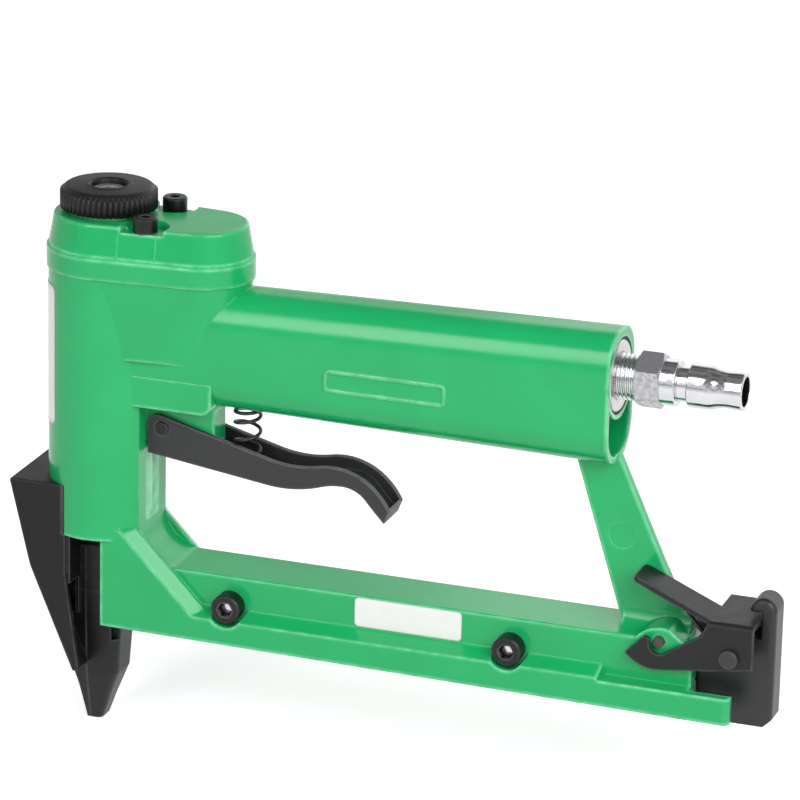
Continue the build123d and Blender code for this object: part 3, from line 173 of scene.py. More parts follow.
class KnobSettings(bpy.types.PropertyGroup):
    """Knurled exhaust knob."""

    ribs: IntProperty(name="Ribs", description="Ribs round the knob", default=52)
    rib: length("Rib", "Height of a rib", 0.00065)
    ring: length("Ring", "Radius of the raised ring", 0.0061)
    well: length("Well", "Radius of the well", 0.0051)
    well_floor: length("Well floor", "Thickness of the knob under its well", 0.0019)
    bore: length("Bore", "Radius of the bore", 0.0027)


class JointSettings(bpy.types.PropertyGroup):
    """Paint bead of the head joint, and the draft lines on the cap's flanks."""

    front_radius: length("Front radius", "Radius of the head's front lobe", COLUMN_RADIUS)
    rear_radius: length("Rear radius", "Radius of the head's rear lobe", 0.0144)
    bead: length("Bead", "Radius of the paint bead in the joint", 0.00034)
    draft_radius: length("Draft radius", "Radius of a draft line", 0.0003)
    draft_gap: length("Draft gap", "Gap between the joint and a draft line", 0.0002)
    draft_lines: lengths("Draft lines", "X of the front and the rear draft line", 0.012, 0.023)
    draft_tops: lengths("Draft tops", "Upper ends of the two draft lines", 0.1519, 0.1509)
    flank: length("Flank", "Half width of the cap at the foot of the front draft line", 0.01626)
    flank_taper: number("Flank taper", "How fast the cap narrows along X", 0.0923)
    flank_draft: number("Flank draft", "How fast the cap narrows with its height", 0.177)


class SocketSettings(bpy.types.PropertyGroup):
    """Floors of the hexagon sockets: the depth of each socket and the radius of its floor."""

    cap: lengths("Cap screw", "Depth and floor radius in a cap screw", 0.00225, 0.0014)
    side: lengths("Side screw", "Depth and floor radius in a side screw", 0.0025, 0.0019)
    knob: lengths("Knob screw", "Depth and floor radius in the knob's screw", 0.0031, 0.0019)


class GuardSettings(bpy.types.PropertyGroup):
    """Lip of the folded guard over the nose plate."""

    fold: lengths("Fold", "Fold of the guard's front, along X and Z", -0.015, 0.0503)
    tip: lengths("Tip", "Lower end of the guard's front, along X and Z", -0.0013, GUARD_FOOT)
    inset: length("Inset", "Depth of the lip behind the guard's front", 0.00005)
    lip: lengths("Lip", "Lower and upper edge of the lip", 0.0312, 0.0338)
    half: length("Half width", "Half the width of the lip", 0.0076)
    sheet: length("Sheet", "Sheet of the lip", 0.0011)


class GussetSettings(bpy.types.PropertyGroup):
    """Wedge on the slope of the near gusset."""

    edge: length("Edge", "X of the slope's outer edge at its top", 0.01262)
    sides: lengths("Sides", "Y of the slope's outer and inner edge", -0.0149, -0.0096)
    ends: lengths("Ends", "Height of the wedge's top and foot", 0.0629, 0.0402)
    turn: angle("Turn", "Angle of the slope's normal off the vertical", 45.5)
    lean: angle("Lean", "Lean of the slope to the near side", 24)
    crest: length("Crest", "Height of the wedge's crest", 0.00117)
    root: length("Root", "Depth of the wedge under the slope", 0.0015)


class PlugSettings(bpy.types.PropertyGroup):
    """Thread that shows between the bush and the hexagon of the air plug."""

    start: length("Start", "X where the thread starts inside the bush", 0.154)
    end: length("End", "X where the thread ends inside the hexagon", 0.16)
    height: length("Height", "Height of the plug's axis", PLUG_HEIGHT)
    root: length("Root", "Radius at the root of the thread", 0.00593)
    depth: length("Depth", "Depth of the thread", 0.0005)
    pitch: length("Pitch", "Pitch of the thread", 0.00122)


class StageSettings(bpy.types.PropertyGroup):
    """Camera, softboxes, floor and surroundings."""

    camera: place("Camera", "Place of the camera", 0.499496, -1.186957, 0.531856)
    azimuth: angle("Azimuth", "Turn of the camera from the object's side", 19)
    elevation: angle("Elevation", "Angle the camera looks down", 18.66)
    roll: angle("Roll", "Roll of the camera", 1.34)
    lens: number("Lens", "Focal length in mm", 214.65)
    sensor: number("Sensor", "Width of the sensor in mm", 36.0)
    aim: place("Aim", "Point the softboxes face", 0.09, 0.0, 0.08)
    reach: length("Reach", "Distance of the softboxes from that point", 1.7)
    floor: length("Floor", "Radius of the floor", 6.0)
    floor_drop: length("Floor drop", "Depth of the floor under the object", 0.0002)
    floor_fade: lengths("Floor fade", "Distances between which the floor turns to plain white", 0.3, 0.9)
    floor_lift: number("Floor lift", "Light added to the floor for the camera", 0.62)
    fill: number("Fill", "Strength of the even light of the room", 0.22)
    sky_low: angle("Sky low", "Height at which mirrors see the sky start to darken", 18)
    sky_high: angle("Sky high", "Height over which the sky is darkest", 50)
    sky_top: number("Sky top", "Strength of the sky there", 0.28)


def corners(name):
    """Lowest and highest corner of a piece of the frame, as arrays."""
    return np.array(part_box(name))


def stacked(along, across, up):
    """Points of these X, Y and Z, spread over the shape that the three share."""
    return np.stack(np.broadcast_arrays(along, across, up), axis=-1)


def circle(sides):
    """Angles of the points of a circle, one for each side."""
    return np.linspace(0, 2 * pi, sides, endpoint=False)


def feed(tree, node, inputs):
    """Link each of these inputs of a node to a socket, or set it to a plain value."""
    for key, value in inputs.items():
        if isinstance(value, bpy.types.NodeSocket):
            tree.links.new(value, node.inputs[key])
        else:
            node.inputs[key].default_value = value


def add(tree, kind, inputs=None, out=0, **settings):
    """Add a shader node of that kind with its settings and its inputs, and return one of its outputs."""
    node = tree.nodes.new("ShaderNode" + kind)
    for name, value in settings.items():
        setattr(node, name, value)
    feed(tree, node, inputs or {})
    return node.outputs[out]


def start_material(name):
    """Start a material and return it with its tree, its shader and the object's coordinates."""
    material = bpy.data.materials.new(name)
    material.use_nodes = True
    tree = material.node_tree
    return material, tree, tree.nodes["Principled BSDF"], add(tree, "TexCoord", out="Object")


def drifting(tree, spot, size, detail, dark, light, rough):
    """Noise of a real size, with a colour and a roughness that drift with it between two values."""
    drift = add(tree, "TexNoise", {"Vector": spot, "Scale": 1 / size, "Detail": detail})
    # A Mix node takes numbers at its inputs 2 and 3, colours at 6 and 7, and its output 2 is the colour
    colour = add(tree, "Mix", {0: drift, 6: dark, 7: light}, 2, data_type="RGBA")
    dull = add(tree, "MapRange", {"Value": drift, "To Min": rough[0], "To Max": rough[1]})
    return drift, colour, dull


def bumped(tree, spot, size, detail, strength, depth, normal):
    """Normal of a skin with bumps of a real size and depth, made by a noise, over another normal."""
    height = add(tree, "TexNoise", {"Vector": spot, "Scale": 1 / size, "Detail": detail})
    return add(tree, "Bump", {"Height": height, "Strength": strength, "Distance": depth, "Normal": normal})


def worn_and_lit_edges(tree, spot, reach):
    """Mask of the convex edges, where the inside near a point opens to the air, broken up by a noise: it
    paints the edges another tone, partly wear and partly a painted highlight.
    """
    rub_size = 0.004
    inside = add(tree, "AmbientOcclusion", {"Distance": reach}, "AO", samples=8, inside=True, only_local=True)
    line = add(tree, "MapRange", {"Value": inside, "From Min": 0.94, "From Max": 0.66})
    rub = add(tree, "TexNoise", {"Vector": spot, "Scale": 1 / rub_size, "Detail": 3.0})
    rub = add(tree, "MapRange", {"Value": rub, "From Min": 0.35, "From Max": 0.6, "To Min": 0.45})
    return add(tree, "Math", {0: line, 1: rub}, operation="MULTIPLY")


def green_enamel(name, colours, thin):
    """Thick green enamel on a die casting: slow casting waves under an orange peel, its convex edges painted
    paler, partly paint drawn thin and partly a painted highlight.
    """
    edge_reach, edge_radius = 0.0012, 0.0008
    material, tree, shader, spot = start_material(name)
    _, paint, dull = drifting(tree, spot, size=0.018, detail=3.0, dark=colours.enamel_dark,
                              light=colours.enamel_light, rough=(0.15, 0.23))
    # The convex edges take the paler tone: partly paint drawn thin, partly a painted highlight
    bare = worn_and_lit_edges(tree, spot, edge_reach)
    colour = add(tree, "Mix", {0: bare, 6: paint, 7: thin}, 2, data_type="RGBA")
    edge = add(tree, "Bevel", {"Radius": edge_radius}, samples=6)
    cast = bumped(tree, spot, size=0.009, detail=2.0, strength=0.35, depth=0.00022, normal=edge)
    peel = bumped(tree, spot, size=0.0013, detail=1.0, strength=0.42, depth=0.00004, normal=cast)
    feed(tree, shader, {"Base Color": colour, "Roughness": dull, "Normal": peel, "Specular IOR Level": 0.42})
    return material


def black_finish(name, dark, light, rough, grain, depth, bevel, shine=0.5, edge_wear_highlight_tone=None):
    """Dull coating: two close colours and a range of roughness, bumps of a grain and a depth, and edges
    softened by a bevel; on request its convex edges are painted another tone, partly wear and partly a
    painted highlight."""
    edge_wear_highlight_reach = 0.0006
    material, tree, shader, spot = start_material(name)
    _, colour, dull = drifting(tree, spot, size=0.006, detail=4.0, dark=linear(dark), light=linear(light),
                               rough=rough)
    if edge_wear_highlight_tone:
        # Convex edges painted another tone: partly wear, partly a painted highlight along the edges
        bare = worn_and_lit_edges(tree, spot, edge_wear_highlight_reach)
        colour = add(tree, "Mix", {0: bare, 6: colour, 7: linear(edge_wear_highlight_tone)}, 2, data_type="RGBA")
    edge = add(tree, "Bevel", {"Radius": bevel}, samples=6)
    skin = bumped(tree, spot, size=grain, detail=2.0, strength=0.4, depth=depth, normal=edge)
    feed(tree, shader, {"Base Color": colour, "Roughness": dull, "Normal": skin, "Specular IOR Level": shine})
    return material


def turned_metal(name, dark, light, rough, ring, depth, wave=0.0, flats=None):
    """Bright turned metal: fine rings along X, 2 pi times the ring's length apart, over slow
    waves of a depth, and dulled between two places along X where it has milled flats."""
    edge_radius, scale_size = 0.00025, 0.0012
    # A wave texture turns by this many radians in one unit
    wave_turn = 20
    material, tree, shader, spot = start_material(name)
    _, colour, dull = drifting(tree, spot, size=0.005, detail=3.0, dark=linear(dark), light=linear(light),
                               rough=rough)
    edge = add(tree, "Bevel", {"Radius": edge_radius}, samples=6)
    slow = bumped(tree, spot, size=0.004, detail=1.0, strength=1.0, depth=wave, normal=edge)
    rings = add(tree, "TexWave", {"Vector": spot, "Scale": 1 / (wave_turn * ring), "Distortion": 0.6}, 1,
                bands_direction="X")
    skin = add(tree, "Bump", {"Height": rings, "Strength": 0.2, "Distance": depth, "Normal": slow})
    metal = 1.0
    if flats:
        # The flats keep a dull, patchy skin under the plating, a little less metallic than the turned ends
        smooth, patchy, flat_metal, flat_grey = 0.2, 0.42, 0.78, linear("#A2A2A6")
        first, last = flats
        along = add(tree, "SeparateXYZ", {0: spot}, "X")
        milled = add(tree, "Math", {0: along, 1: (first + last) / 2, 2: (last - first) / 2},
                     operation="COMPARE")
        scale = add(tree, "TexNoise", {"Vector": spot, "Scale": 1 / scale_size, "Detail": 4.0})
        scale = add(tree, "MapRange", {"Value": scale, "From Min": 0.35, "From Max": 0.65, "To Min": smooth,
                                       "To Max": patchy})
        dull = add(tree, "Mix", {0: milled, 2: dull, 3: scale})
        metal = add(tree, "MapRange", {"Value": milled, "To Min": 1.0, "To Max": flat_metal})
        dim = add(tree, "MapRange", {"Value": scale, "From Min": smooth, "From Max": patchy, "To Min": 0.45})
        dim = add(tree, "Math", {0: dim, 1: milled}, operation="MULTIPLY")
        colour = add(tree, "Mix", {0: dim, 6: colour, 7: flat_grey}, 2, data_type="RGBA")
    feed(tree, shader, {"Base Color": colour, "Roughness": dull, "Normal": skin, "Metallic": metal})
    return material


def vinyl(colours):
    """Blank white vinyl: the soft mottle of the film, a little grey along its cut edge."""
    edge_width, mottle_depth = 0.0004, 0.00003
    material, tree, shader, spot = start_material("white sticker vinyl")
    mottle, film, dull = drifting(tree, spot, size=0.004, detail=2.0, dark=colours.vinyl_dark,
                                  light=colours.vinyl_light, rough=(0.18, 0.28))
    inside = add(tree, "Attribute", None, "Fac", attribute_name="edge")
    line = add(tree, "MapRange", {"Value": inside, "From Min": edge_width, "From Max": 0.0})
    colour = add(tree, "Mix", {0: line, 6: film, 7: colours.vinyl_edge}, 2, data_type="RGBA")
    skin = add(tree, "Bump", {"Height": mottle, "Strength": 0.15, "Distance": mottle_depth})
    feed(tree, shader, {"Base Color": colour, "Roughness": dull, "Normal": skin, "Specular IOR Level": 0.8})
    return material


def surface(name, points, body, material, around=False):
    """Mesh over a grid of points, rows by columns, that closes round its columns on request, and rides on a
    body of the frame where one is named."""
    rows, columns = points.shape[:2]
    index = np.arange(rows * columns).reshape(rows, columns)
    if around:
        index = np.hstack([index, index[:, :1]])
    quads = np.stack([index[:-1, :-1], index[:-1, 1:], index[1:, 1:], index[1:, :-1]], axis=-1)
    mesh = bpy.data.meshes.new(name)
    mesh.from_pydata(points.reshape(-1, 3).tolist(), [], quads.reshape(-1, 4).tolist())
    mesh.materials.append(material)
    piece = bpy.data.objects.new(name, mesh)
    bpy.context.scene.collection.objects.link(piece)
    # Rows that shrink to a point become one vertex, which closes the poles
    work = bmesh.new()
    work.from_mesh(mesh)
    bmesh.ops.remove_doubles(work, verts=work.verts, dist=1e-7)
    work.to_mesh(mesh)
    work.free()
    mesh.polygons.foreach_set("use_smooth", np.ones(len(mesh.polygons), dtype=bool))
    if body:
        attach(piece, body)
    return piece


def thicken(piece, sheet, offset=1.0):
    """Give a surface the thickness of its sheet, along its normals at an offset of 1, against them at -1."""
    wall = piece.modifiers.new("sheet", "SOLIDIFY")
    wall.thickness = sheet
    wall.offset = offset


def rounded(width, height, corner, columns=64, rows=24):
    """Rounded rectangle as a grid, with each point's depth inside its edge: steps across crowd at the ends,
    where the half height follows the corner's circle, and the depth is the corner's radius less the
    distance from the box of the corners' centres."""
    across = -np.cos(np.linspace(0, pi, columns)) * width / 2
    over = np.clip(np.abs(across) - (width / 2 - corner), 0, corner)
    half = height / 2 - corner + np.sqrt(corner ** 2 - over ** 2)
    up = np.linspace(-1, 1, rows)[:, None] * half
    across = np.broadcast_to(across, up.shape)
    past = np.stack([np.abs(across) - (width / 2 - corner), np.abs(up) - (height / 2 - corner)])
    depth = corner - np.linalg.norm(np.maximum(past, 0), axis=0) - np.minimum(past.max(axis=0), 0)
    return across, up, depth


def sticker(name, points, depth, sheet, material):
    """Thin film over a grid of points, with the depth inside its edge kept for the material."""
    piece = surface(name, points, "frame", material)
    values = piece.data.attributes.new("edge", "FLOAT", "POINT")
    values.data.foreach_set("value", depth.ravel())
    thicken(piece, sheet)


def coil(radius, wire, turns, tall, steps=40, sides=14, flat=0.85):
    """Wound wire from z = 0 to tall: a helix whose height goes as s - flat sin(2 pi s) / 2 pi, so that its
    ends lie flat, with a circle carried along it and closed at both ends."""
    share = np.linspace(0, 1, int(turns * steps) + 1)
    turn = 2 * pi * turns * share
    height = wire / 2 + (tall - wire) * (share - flat * np.sin(2 * pi * share) / (2 * pi))
    rise = (tall - wire) * (1 - flat * np.cos(2 * pi * share)) / (2 * pi * turns)
    centre = stacked(radius * np.cos(turn), radius * np.sin(turn), height)
    along = stacked(-radius * np.sin(turn), radius * np.cos(turn), rise)
    along /= np.linalg.norm(along, axis=-1, keepdims=True)
    out = stacked(np.cos(turn), np.sin(turn), 0)
    over = np.cross(along, out)
    ring = circle(sides)[:, None]
    tube = centre[:, None] + wire / 2 * (np.cos(ring) * out[:, None] + np.sin(ring) * over[:, None])
    caps = np.broadcast_to(centre[[0, -1], None], (2, sides, 3))
    return np.concatenate([caps[:1], tube, caps[1:]])


def leaf(low, high, bend, sheet, soft=0.001, rows=40, columns=9):
    """Sheet that lies flat, then rises in a straight slope, the two joined by a hyperbola at the bend."""
    along = np.linspace(high[0], low[0], rows)[:, None]
    across = np.linspace(low[1], high[1], columns)[None, :]
    slope = (high[2] - low[2] - sheet) / (bend - low[0])
    past = bend - along
    rise = slope * (past + np.sqrt(past ** 2 + soft ** 2)) / 2
    return stacked(along, across, low[2] + rise)


def knob(low, high, size, steps=12):
    """Ribbed knob: a closed profile of radius and height turned round the axis, plus half-round ribs."""
    middle = (low + high) / 2
    side = (high[0] - low[0]) / 2 - size.rib
    top = high[2] - low[2]
    ring, well, bore, floor = size.ring, size.well, size.bore, size.well_floor
    hair = 0.00005
    # Radius, height and share of the rib, from the bore under the knob round to the bore again
    profile = np.array([
        # Underside and ribbed side
        (bore, 0.0, 0.0), (side - hair, 0.0, 0.0), (side, hair, 1.0), (side, top - 0.0017, 1.0),
        # Round shoulder, into which the ribs run out
        (side - hair, top - 0.0015, 0.35), (side - 0.0002, top - 0.0012, 0.0),
        (side - 0.0005, top - 0.0008, 0.0), (side - 0.001, top - 0.00045, 0.0),
        (side - 0.0017, top - 0.00025, 0.0),
        # Raised ring about the well
        (ring + 0.0009, top - 0.0003, 0.0), (ring + 0.00045, top - 0.0002, 0.0), (ring, top, 0.0),
        (well + 0.00045, top - 0.0001, 0.0), (well + 0.00012, top - 0.0004, 0.0), (well, top - 0.0008, 0.0),
        # Well and bore
        (well, floor + hair, 0.0), (well - hair, floor, 0.0), (bore + hair, floor, 0.0),
        (bore, floor - hair, 0.0), (bore, hair, 0.0), (bore, 0.0, 0.0)])
    turn = circle(size.ribs * steps)
    away = ((turn * size.ribs / (2 * pi)) % 1 - 0.5) * 2 * pi * side / size.ribs
    rib = np.sqrt(np.clip(size.rib ** 2 - away ** 2, 0, None))
    radius = profile[:, :1] + profile[:, 2:] * rib
    height = low[2] + profile[:, 1:2]
    return stacked(middle[0] + radius * np.cos(turn), middle[1] + radius * np.sin(turn), height)


def joint_bead(front, rear, height, radius, front_steps=80, rear_steps=60, sides=10):
    """Round bead along the head's outline: each lobe, an axis and a radius, gives its arc by the angle of the
    normal, and the tangents between them join the two."""
    limit = np.arccos((front[1] - rear[1]) / (rear[0] - front[0]))
    facing = np.concatenate([np.linspace(-limit, limit, rear_steps),
                             np.linspace(limit, 2 * pi - limit, front_steps), [-limit]])
    lobe = np.concatenate([np.tile(rear, (rear_steps, 1)), np.tile(front, (front_steps, 1)), [rear]])
    out = stacked(np.cos(facing), np.sin(facing), 0)
    path = lobe[:, 1:] * out + stacked(lobe[:, 0], 0, height)
    ring = circle(sides)[:, None]
    up = np.array([0.0, 0.0, 1.0])
    return path[:, None] + radius * (np.cos(ring) * out[:, None] - np.sin(ring) * up)


def draft_line(size, spot, low, high, side, steps=24, sides=10):
    """Thin bead up the cap's flank: the flank's plane gives each point's depth, and a circle that closes at
    both ends is carried along it."""
    along, across, _ = np.eye(3)
    up = np.linspace(low, high, steps)
    behind = spot - size.draft_lines[0]
    width = size.flank - size.flank_taper * behind - size.flank_draft * (up - low)
    path = stacked(spot, side * (width - size.draft_radius / 2), up)
    turn = circle(sides)[:, None]
    reach = np.pad(np.full(steps - 2, size.draft_radius), 1)[:, None, None]
    return path[:, None] + reach * (np.cos(turn) * along + np.sin(turn) * across)


def gusset_facet(size, steps=30):
    """Wedge on the gusset's slope: at each height a section runs across the slope, rises in a line to its
    crest and falls in a line behind it, and closes under the slope."""
    top, foot = size.ends
    outer, inner = size.sides
    crest = 0.78
    # Shares of the way across: the face up to the crest, the two sides of the crest, and the face behind it
    face, tip, back = np.linspace(0.004, 0.74, 12), (0.765, 0.79), np.linspace(0.815, 0.99, 6)
    share = np.concatenate([[0, 0], face, tip, back, [1, 1]])
    rise = size.crest * np.minimum(share / crest, (1 - share) / (1 - crest))
    rise[[0, -1]] = -size.root
    normal = np.array([sin(size.turn) * cos(size.lean), -sin(size.lean), cos(size.turn) * cos(size.lean)])
    across = (inner - outer) * tan(size.lean) / sin(size.turn)
    high = np.linspace(top, foot, steps)[:, None]
    along = size.edge + (top - high) / tan(size.turn) + share * across
    points = stacked(along, outer + share * (inner - outer), high) + rise[:, None] * normal
    ends = np.broadcast_to(points[[0, -1]].mean(axis=1, keepdims=True), (2, len(share), 3))
    return np.concatenate([ends[:1], points, ends[1:]])


def socket_floor(centre, first, second, radius, rings=8, sides=24):
    """Closed lens on a socket's floor: a flat back, a low rim, and a front that rises as a cosine to its
    middle; the rim and the dome are shares of the radius."""
    rim, dome = 0.06, 0.14
    inwards = np.linspace(1, 0, rings)
    share = np.concatenate([[0, 1], inwards])[:, None]
    rise = np.concatenate([[0, 0], rim + dome * np.cos(inwards * pi / 2)])[:, None] * radius
    turn = circle(sides)[:, None]
    out = np.cos(turn) * first + np.sin(turn) * second
    return centre + (share * radius)[..., None] * out + rise[..., None] * np.cross(first, second)


def thread(size, steps=84, sides=96):
    """Thread along X: its radius is the root plus a ridge that climbs with the turn, cut flat at its crest
    and at its root, and shrinks to a point at both ends."""
    peak, steep = 1.6, 4.25
    along = np.linspace(size.start, size.end, steps)[:, None]
    turn = circle(sides)
    share = (along / size.pitch - turn / (2 * pi)) % 1
    ridge = np.clip(peak - steep * np.abs(share - 0.5), 0, 1)
    reach = np.pad(size.root + size.depth * ridge, ((1, 1), (0, 0)))
    along = np.pad(along, ((1, 1), (0, 0)), mode="edge")
    return stacked(along, reach * np.cos(turn), size.height + reach * np.sin(turn))


def dress(names, material):
    """Give these pieces of the frame one finish."""
    for name in names:
        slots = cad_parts[name].data.materials
        slots.clear()
        slots.append(material)


def finish_of(name):
    """Finish that a piece of the frame already has."""
    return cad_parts[name].data.materials[0]


class STAPLER_OT_finishes(bpy.types.Operator):
    """Give every piece of the frame its real finish"""

    bl_idname = "stapler.finishes"
    bl_label = "Finishes"

    def execute(self, context):
        colours = context.scene.stapler_finishes
        # Stoving enamel: a thick glossy green, painted paler along its convex edges, partly where it is thin
        # and partly as a painted highlight
        dress(GREEN, green_enamel("green stoving enamel", colours, colours.enamel_edge_highlight))
        # Fibre gasket whose edge took the paint of the casting: a dull dark green line
        dress(("head_gasket",), black_finish(
            "painted gasket edge", "#125C37", "#186B42", rough=(0.5, 0.65), grain=0.0004, depth=0.00002,
            bevel=0.0001))
        # Lacquer on folded sheet: satin black, its folds and edges painted greyer, partly wear and partly a
        # painted highlight
        dress(("front_guard",), black_finish(
            "black lacquered sheet", "#080809", "#0E0E0F", rough=(0.36, 0.5), grain=0.0007, depth=0.00003,
            bevel=0.0005, shine=0.3, edge_wear_highlight_tone="#464648"))
        # The same lacquer handled for years: a shade greyer and duller, its edges painted greyer, partly wear
        # and partly a painted highlight
        dress(("latch_lever",), black_finish(
            "worn lacquered sheet", "#0D0D0E", "#161617", rough=(0.38, 0.54), grain=0.0007, depth=0.00004,
            bevel=0.0005, shine=0.35, edge_wear_highlight_tone="#4A4A4C"))
        # Oxide on machined steel: a smooth deep black, its edges painted grey, partly wear and partly a
        # painted highlight
        dress(BLACK_BLOCK, black_finish(
            "black oxide block", "#08080A", "#0F0F10", rough=(0.34, 0.46), grain=0.0005, depth=0.00002,
            bevel=0.0005, shine=0.34, edge_wear_highlight_tone="#454547"))
        # Oxide on cap screws: oily black, the rims painted bright, partly wear and partly a painted highlight
        dress(BLACK_SCREWS, black_finish(
            "black oxide screw", "#070708", "#0E0E0F", rough=(0.28, 0.42), grain=0.0004, depth=0.00001,
            bevel=0.0003, shine=0.35, edge_wear_highlight_tone="#58585A"))
        # Oxide worn through by the key: black and light grey in patches, with paler rims, partly wear and
        # partly painted glints on the head down the knob's well
        dress(("deflector_screw",), black_finish(
            "worn oxide screw with painted glints", "#26262A", "#8A8A8E", rough=(0.22, 0.36), grain=0.0004, depth=0.00002,
            bevel=0.0003, shine=0.6, edge_wear_highlight_tone="#A4A4A8"))
        # Ground end of a hardened pin: an even dark grey disc, its edges painted lighter, partly wear and
        # partly a painted highlight
        dress(("latch_pin",), black_finish(
            "ground pin end", "#222224", "#2E2E30", rough=(0.36, 0.5), grain=0.0004, depth=0.00001,
            bevel=0.0003, edge_wear_highlight_tone="#58585A"))
        # Lacquer on the bent trigger: grey black and matt, worn by the finger, its edges painted lighter,
        # partly wear and partly a painted highlight
        dress(("trigger_lever",), black_finish(
            "grey black trigger lacquer", "#1E1E20", "#2A2A2C", rough=(0.42, 0.55), grain=0.0006,
            depth=0.00003, bevel=0.0006, edge_wear_highlight_tone="#5E5E60"))
        # Browned steel: a warm dark grey
        dress(("catch_pin",), black_finish(
            "browned steel pin", "#3A332E", "#4A433C", rough=(0.35, 0.5), grain=0.0004, depth=0.00001,
            bevel=0.0002))
        # Moulded nylon: the knob is dull from its mould, the end block has a satin skin and a lighter tone,
        # painted light for the softbox on its right
        dress(("exhaust_deflector",), black_finish(
            "dull moulded nylon", "#0A0A0B", "#131314", rough=(0.42, 0.55), grain=0.0006, depth=0.00004,
            bevel=0.0002, shine=0.35))
        dress(("end_block",), black_finish(
            "satin moulded nylon with painted light", "#18181A", "#222224", rough=(0.34, 0.46), grain=0.0006, depth=0.00004,
            bevel=0.0008))
        # Nitrile rubber of the seals: matt black with no gloss at the edges
        dress(RUBBER, black_finish(
            "nitrile rubber", "#131314", "#1B1B1C", rough=(0.55, 0.7), grain=0.0008, depth=0.00003,
            bevel=0.0004))
        # Chrome on the turned plug: sharp reflections, softened on its milled hexagon
        dress(("air_plug",), turned_metal(
            "chrome plate", "#C2C2C6", "#D6D6D9", rough=(0.07, 0.16), ring=0.0004, depth=0.000006,
            wave=0.00009, flats=PLUG_HEXAGON))
        # Zinc on the turned bush: a warm silver with soft reflections
        dress(("inlet_bush",), turned_metal(
            "turned zinc plate", "#B9B9B6", "#D5D5D2", rough=(0.22, 0.36), ring=0.0004, depth=0.00001))
        # Bare metals inside: cool steel, pale aluminium and yellow brass, with the tool's fine rings
        dress(STEEL, turned_metal(
            "bright drawn steel", "#AFAFB2", "#C9C9CB", rough=(0.22, 0.34), ring=0.0006, depth=0.00001))
        dress(ALUMINIUM, turned_metal(
            "turned aluminium", "#BDBEC1", "#D2D3D5", rough=(0.25, 0.38), ring=0.0006, depth=0.00001))
        dress(BRASS, turned_metal(
            "turned brass", "#B08E4C", "#C8A662", rough=(0.2, 0.32), ring=0.0005, depth=0.00001))
        return {"FINISHED"}


class STAPLER_OT_stickers(bpy.types.Operator):
    """Lay the blank stickers on the arm's side and round the column's front"""

    bl_idname = "stapler.stickers"
    bl_label = "Stickers"

    def execute(self, context):
        size = context.scene.stapler_stickers
        film = vinyl(context.scene.stapler_finishes)
        # Flat on the arm
        low, high = np.array(size.arm_low), np.array(size.arm_high)
        width, height = high - low
        middle = (low + high) / 2
        across, up, depth = rounded(width, height, size.arm_corner)
        points = stacked(middle[0] + across, size.arm_side, middle[1] + up)
        sticker("arm_sticker", points, depth, size.thickness, film)
        # Rolled round the column, where the way across becomes an angle about its axis
        radius = size.column_radius
        width = 2 * size.column_angle * radius
        height = size.column_high - size.column_low
        middle = (size.column_low + size.column_high) / 2
        across, up, depth = rounded(width, height, size.column_corner)
        turn = pi + across / radius
        points = stacked(size.column_axis + radius * np.cos(turn), radius * np.sin(turn), middle + up)
        sticker("column_sticker", points, depth, size.thickness, film)
        return {"FINISHED"}


class STAPLER_OT_springs(bpy.types.Operator):
    """Wind the trigger, valve and feed springs and bend the latch's leaf"""

    bl_idname = "stapler.springs"
    bl_label = "Springs"

    def execute(self, context):
        size = context.scene.stapler_springs
        # Oiled wire: black with a thin wet gloss. Bare wire: bright, drawn grey
        dark = black_finish("oiled spring wire", "#1B1B1D", "#2B2B2E", rough=(0.25, 0.38), grain=0.0004,
                            depth=0.00001, bevel=0.0001)
        bright = turned_metal("bright spring wire", "#A6A6AA", "#BFBFC2", rough=(0.2, 0.32), ring=0.0004,
                              depth=0.000005)
        # The two upright springs
        for name, wire, turns, joint, keep, metal, slot in (
                ("trigger_spring", size.trigger_wire, size.trigger_turns, "trigger_pull", 0.72, dark,
                 "black_steel"),
                ("valve_spring", size.valve_wire, size.valve_turns, "valve_lift", 0.8, bright,
                 "bright_steel")):
            low, high = corners(name)
            middle = (low + high) / 2
            radius = (high[0] - low[0] - wire) / 2
            points = coil(radius, wire, turns, high[2] - low[2]) + (middle[0], middle[1], low[2])
            piece = surface(name + "_coil", points, "frame", metal, around=True)
            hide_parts(name)
            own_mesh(piece)
        # The feed spring, laid along X
        low, high = corners("feed_spring")
        middle = (low + high) / 2
        wire = size.feed_wire
        radius = (high[2] - low[2] - wire) / 2
        points = coil(radius, wire, size.feed_turns, high[0] - low[0], steps=20, sides=8)
        points = np.roll(points, 1, axis=-1) + (low[0], middle[1], middle[2])
        piece = surface("feed_spring_coil", points, "magazine", bright, around=True)
        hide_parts("feed_spring")
        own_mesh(piece)
        # The leaf under the latch, which flattens on its shelf
        low, high = corners("latch_leaf")
        low[1] = size.leaf_near
        points = leaf(low, high, size.leaf_bend, size.leaf_sheet)
        piece = surface("latch_leaf_sheet", points, "magazine", dark)
        thicken(piece, size.leaf_sheet)
        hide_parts("latch_leaf")
        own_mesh(piece)
        return {"FINISHED"}


class STAPLER_OT_knob(bpy.types.Operator):
    """Turn the knurled exhaust knob with its round shoulder and the raised ring about its well"""

    bl_idname = "stapler.knob"
    bl_label = "Exhaust knob"

    def execute(self, context):
        low, high = corners("exhaust_deflector")
        points = knob(low, high, context.scene.stapler_knob)
        nylon = finish_of("exhaust_deflector")
        piece = surface("deflector_knob", points, "deflector", nylon, around=True)
        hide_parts("exhaust_deflector")
        return {"FINISHED"}


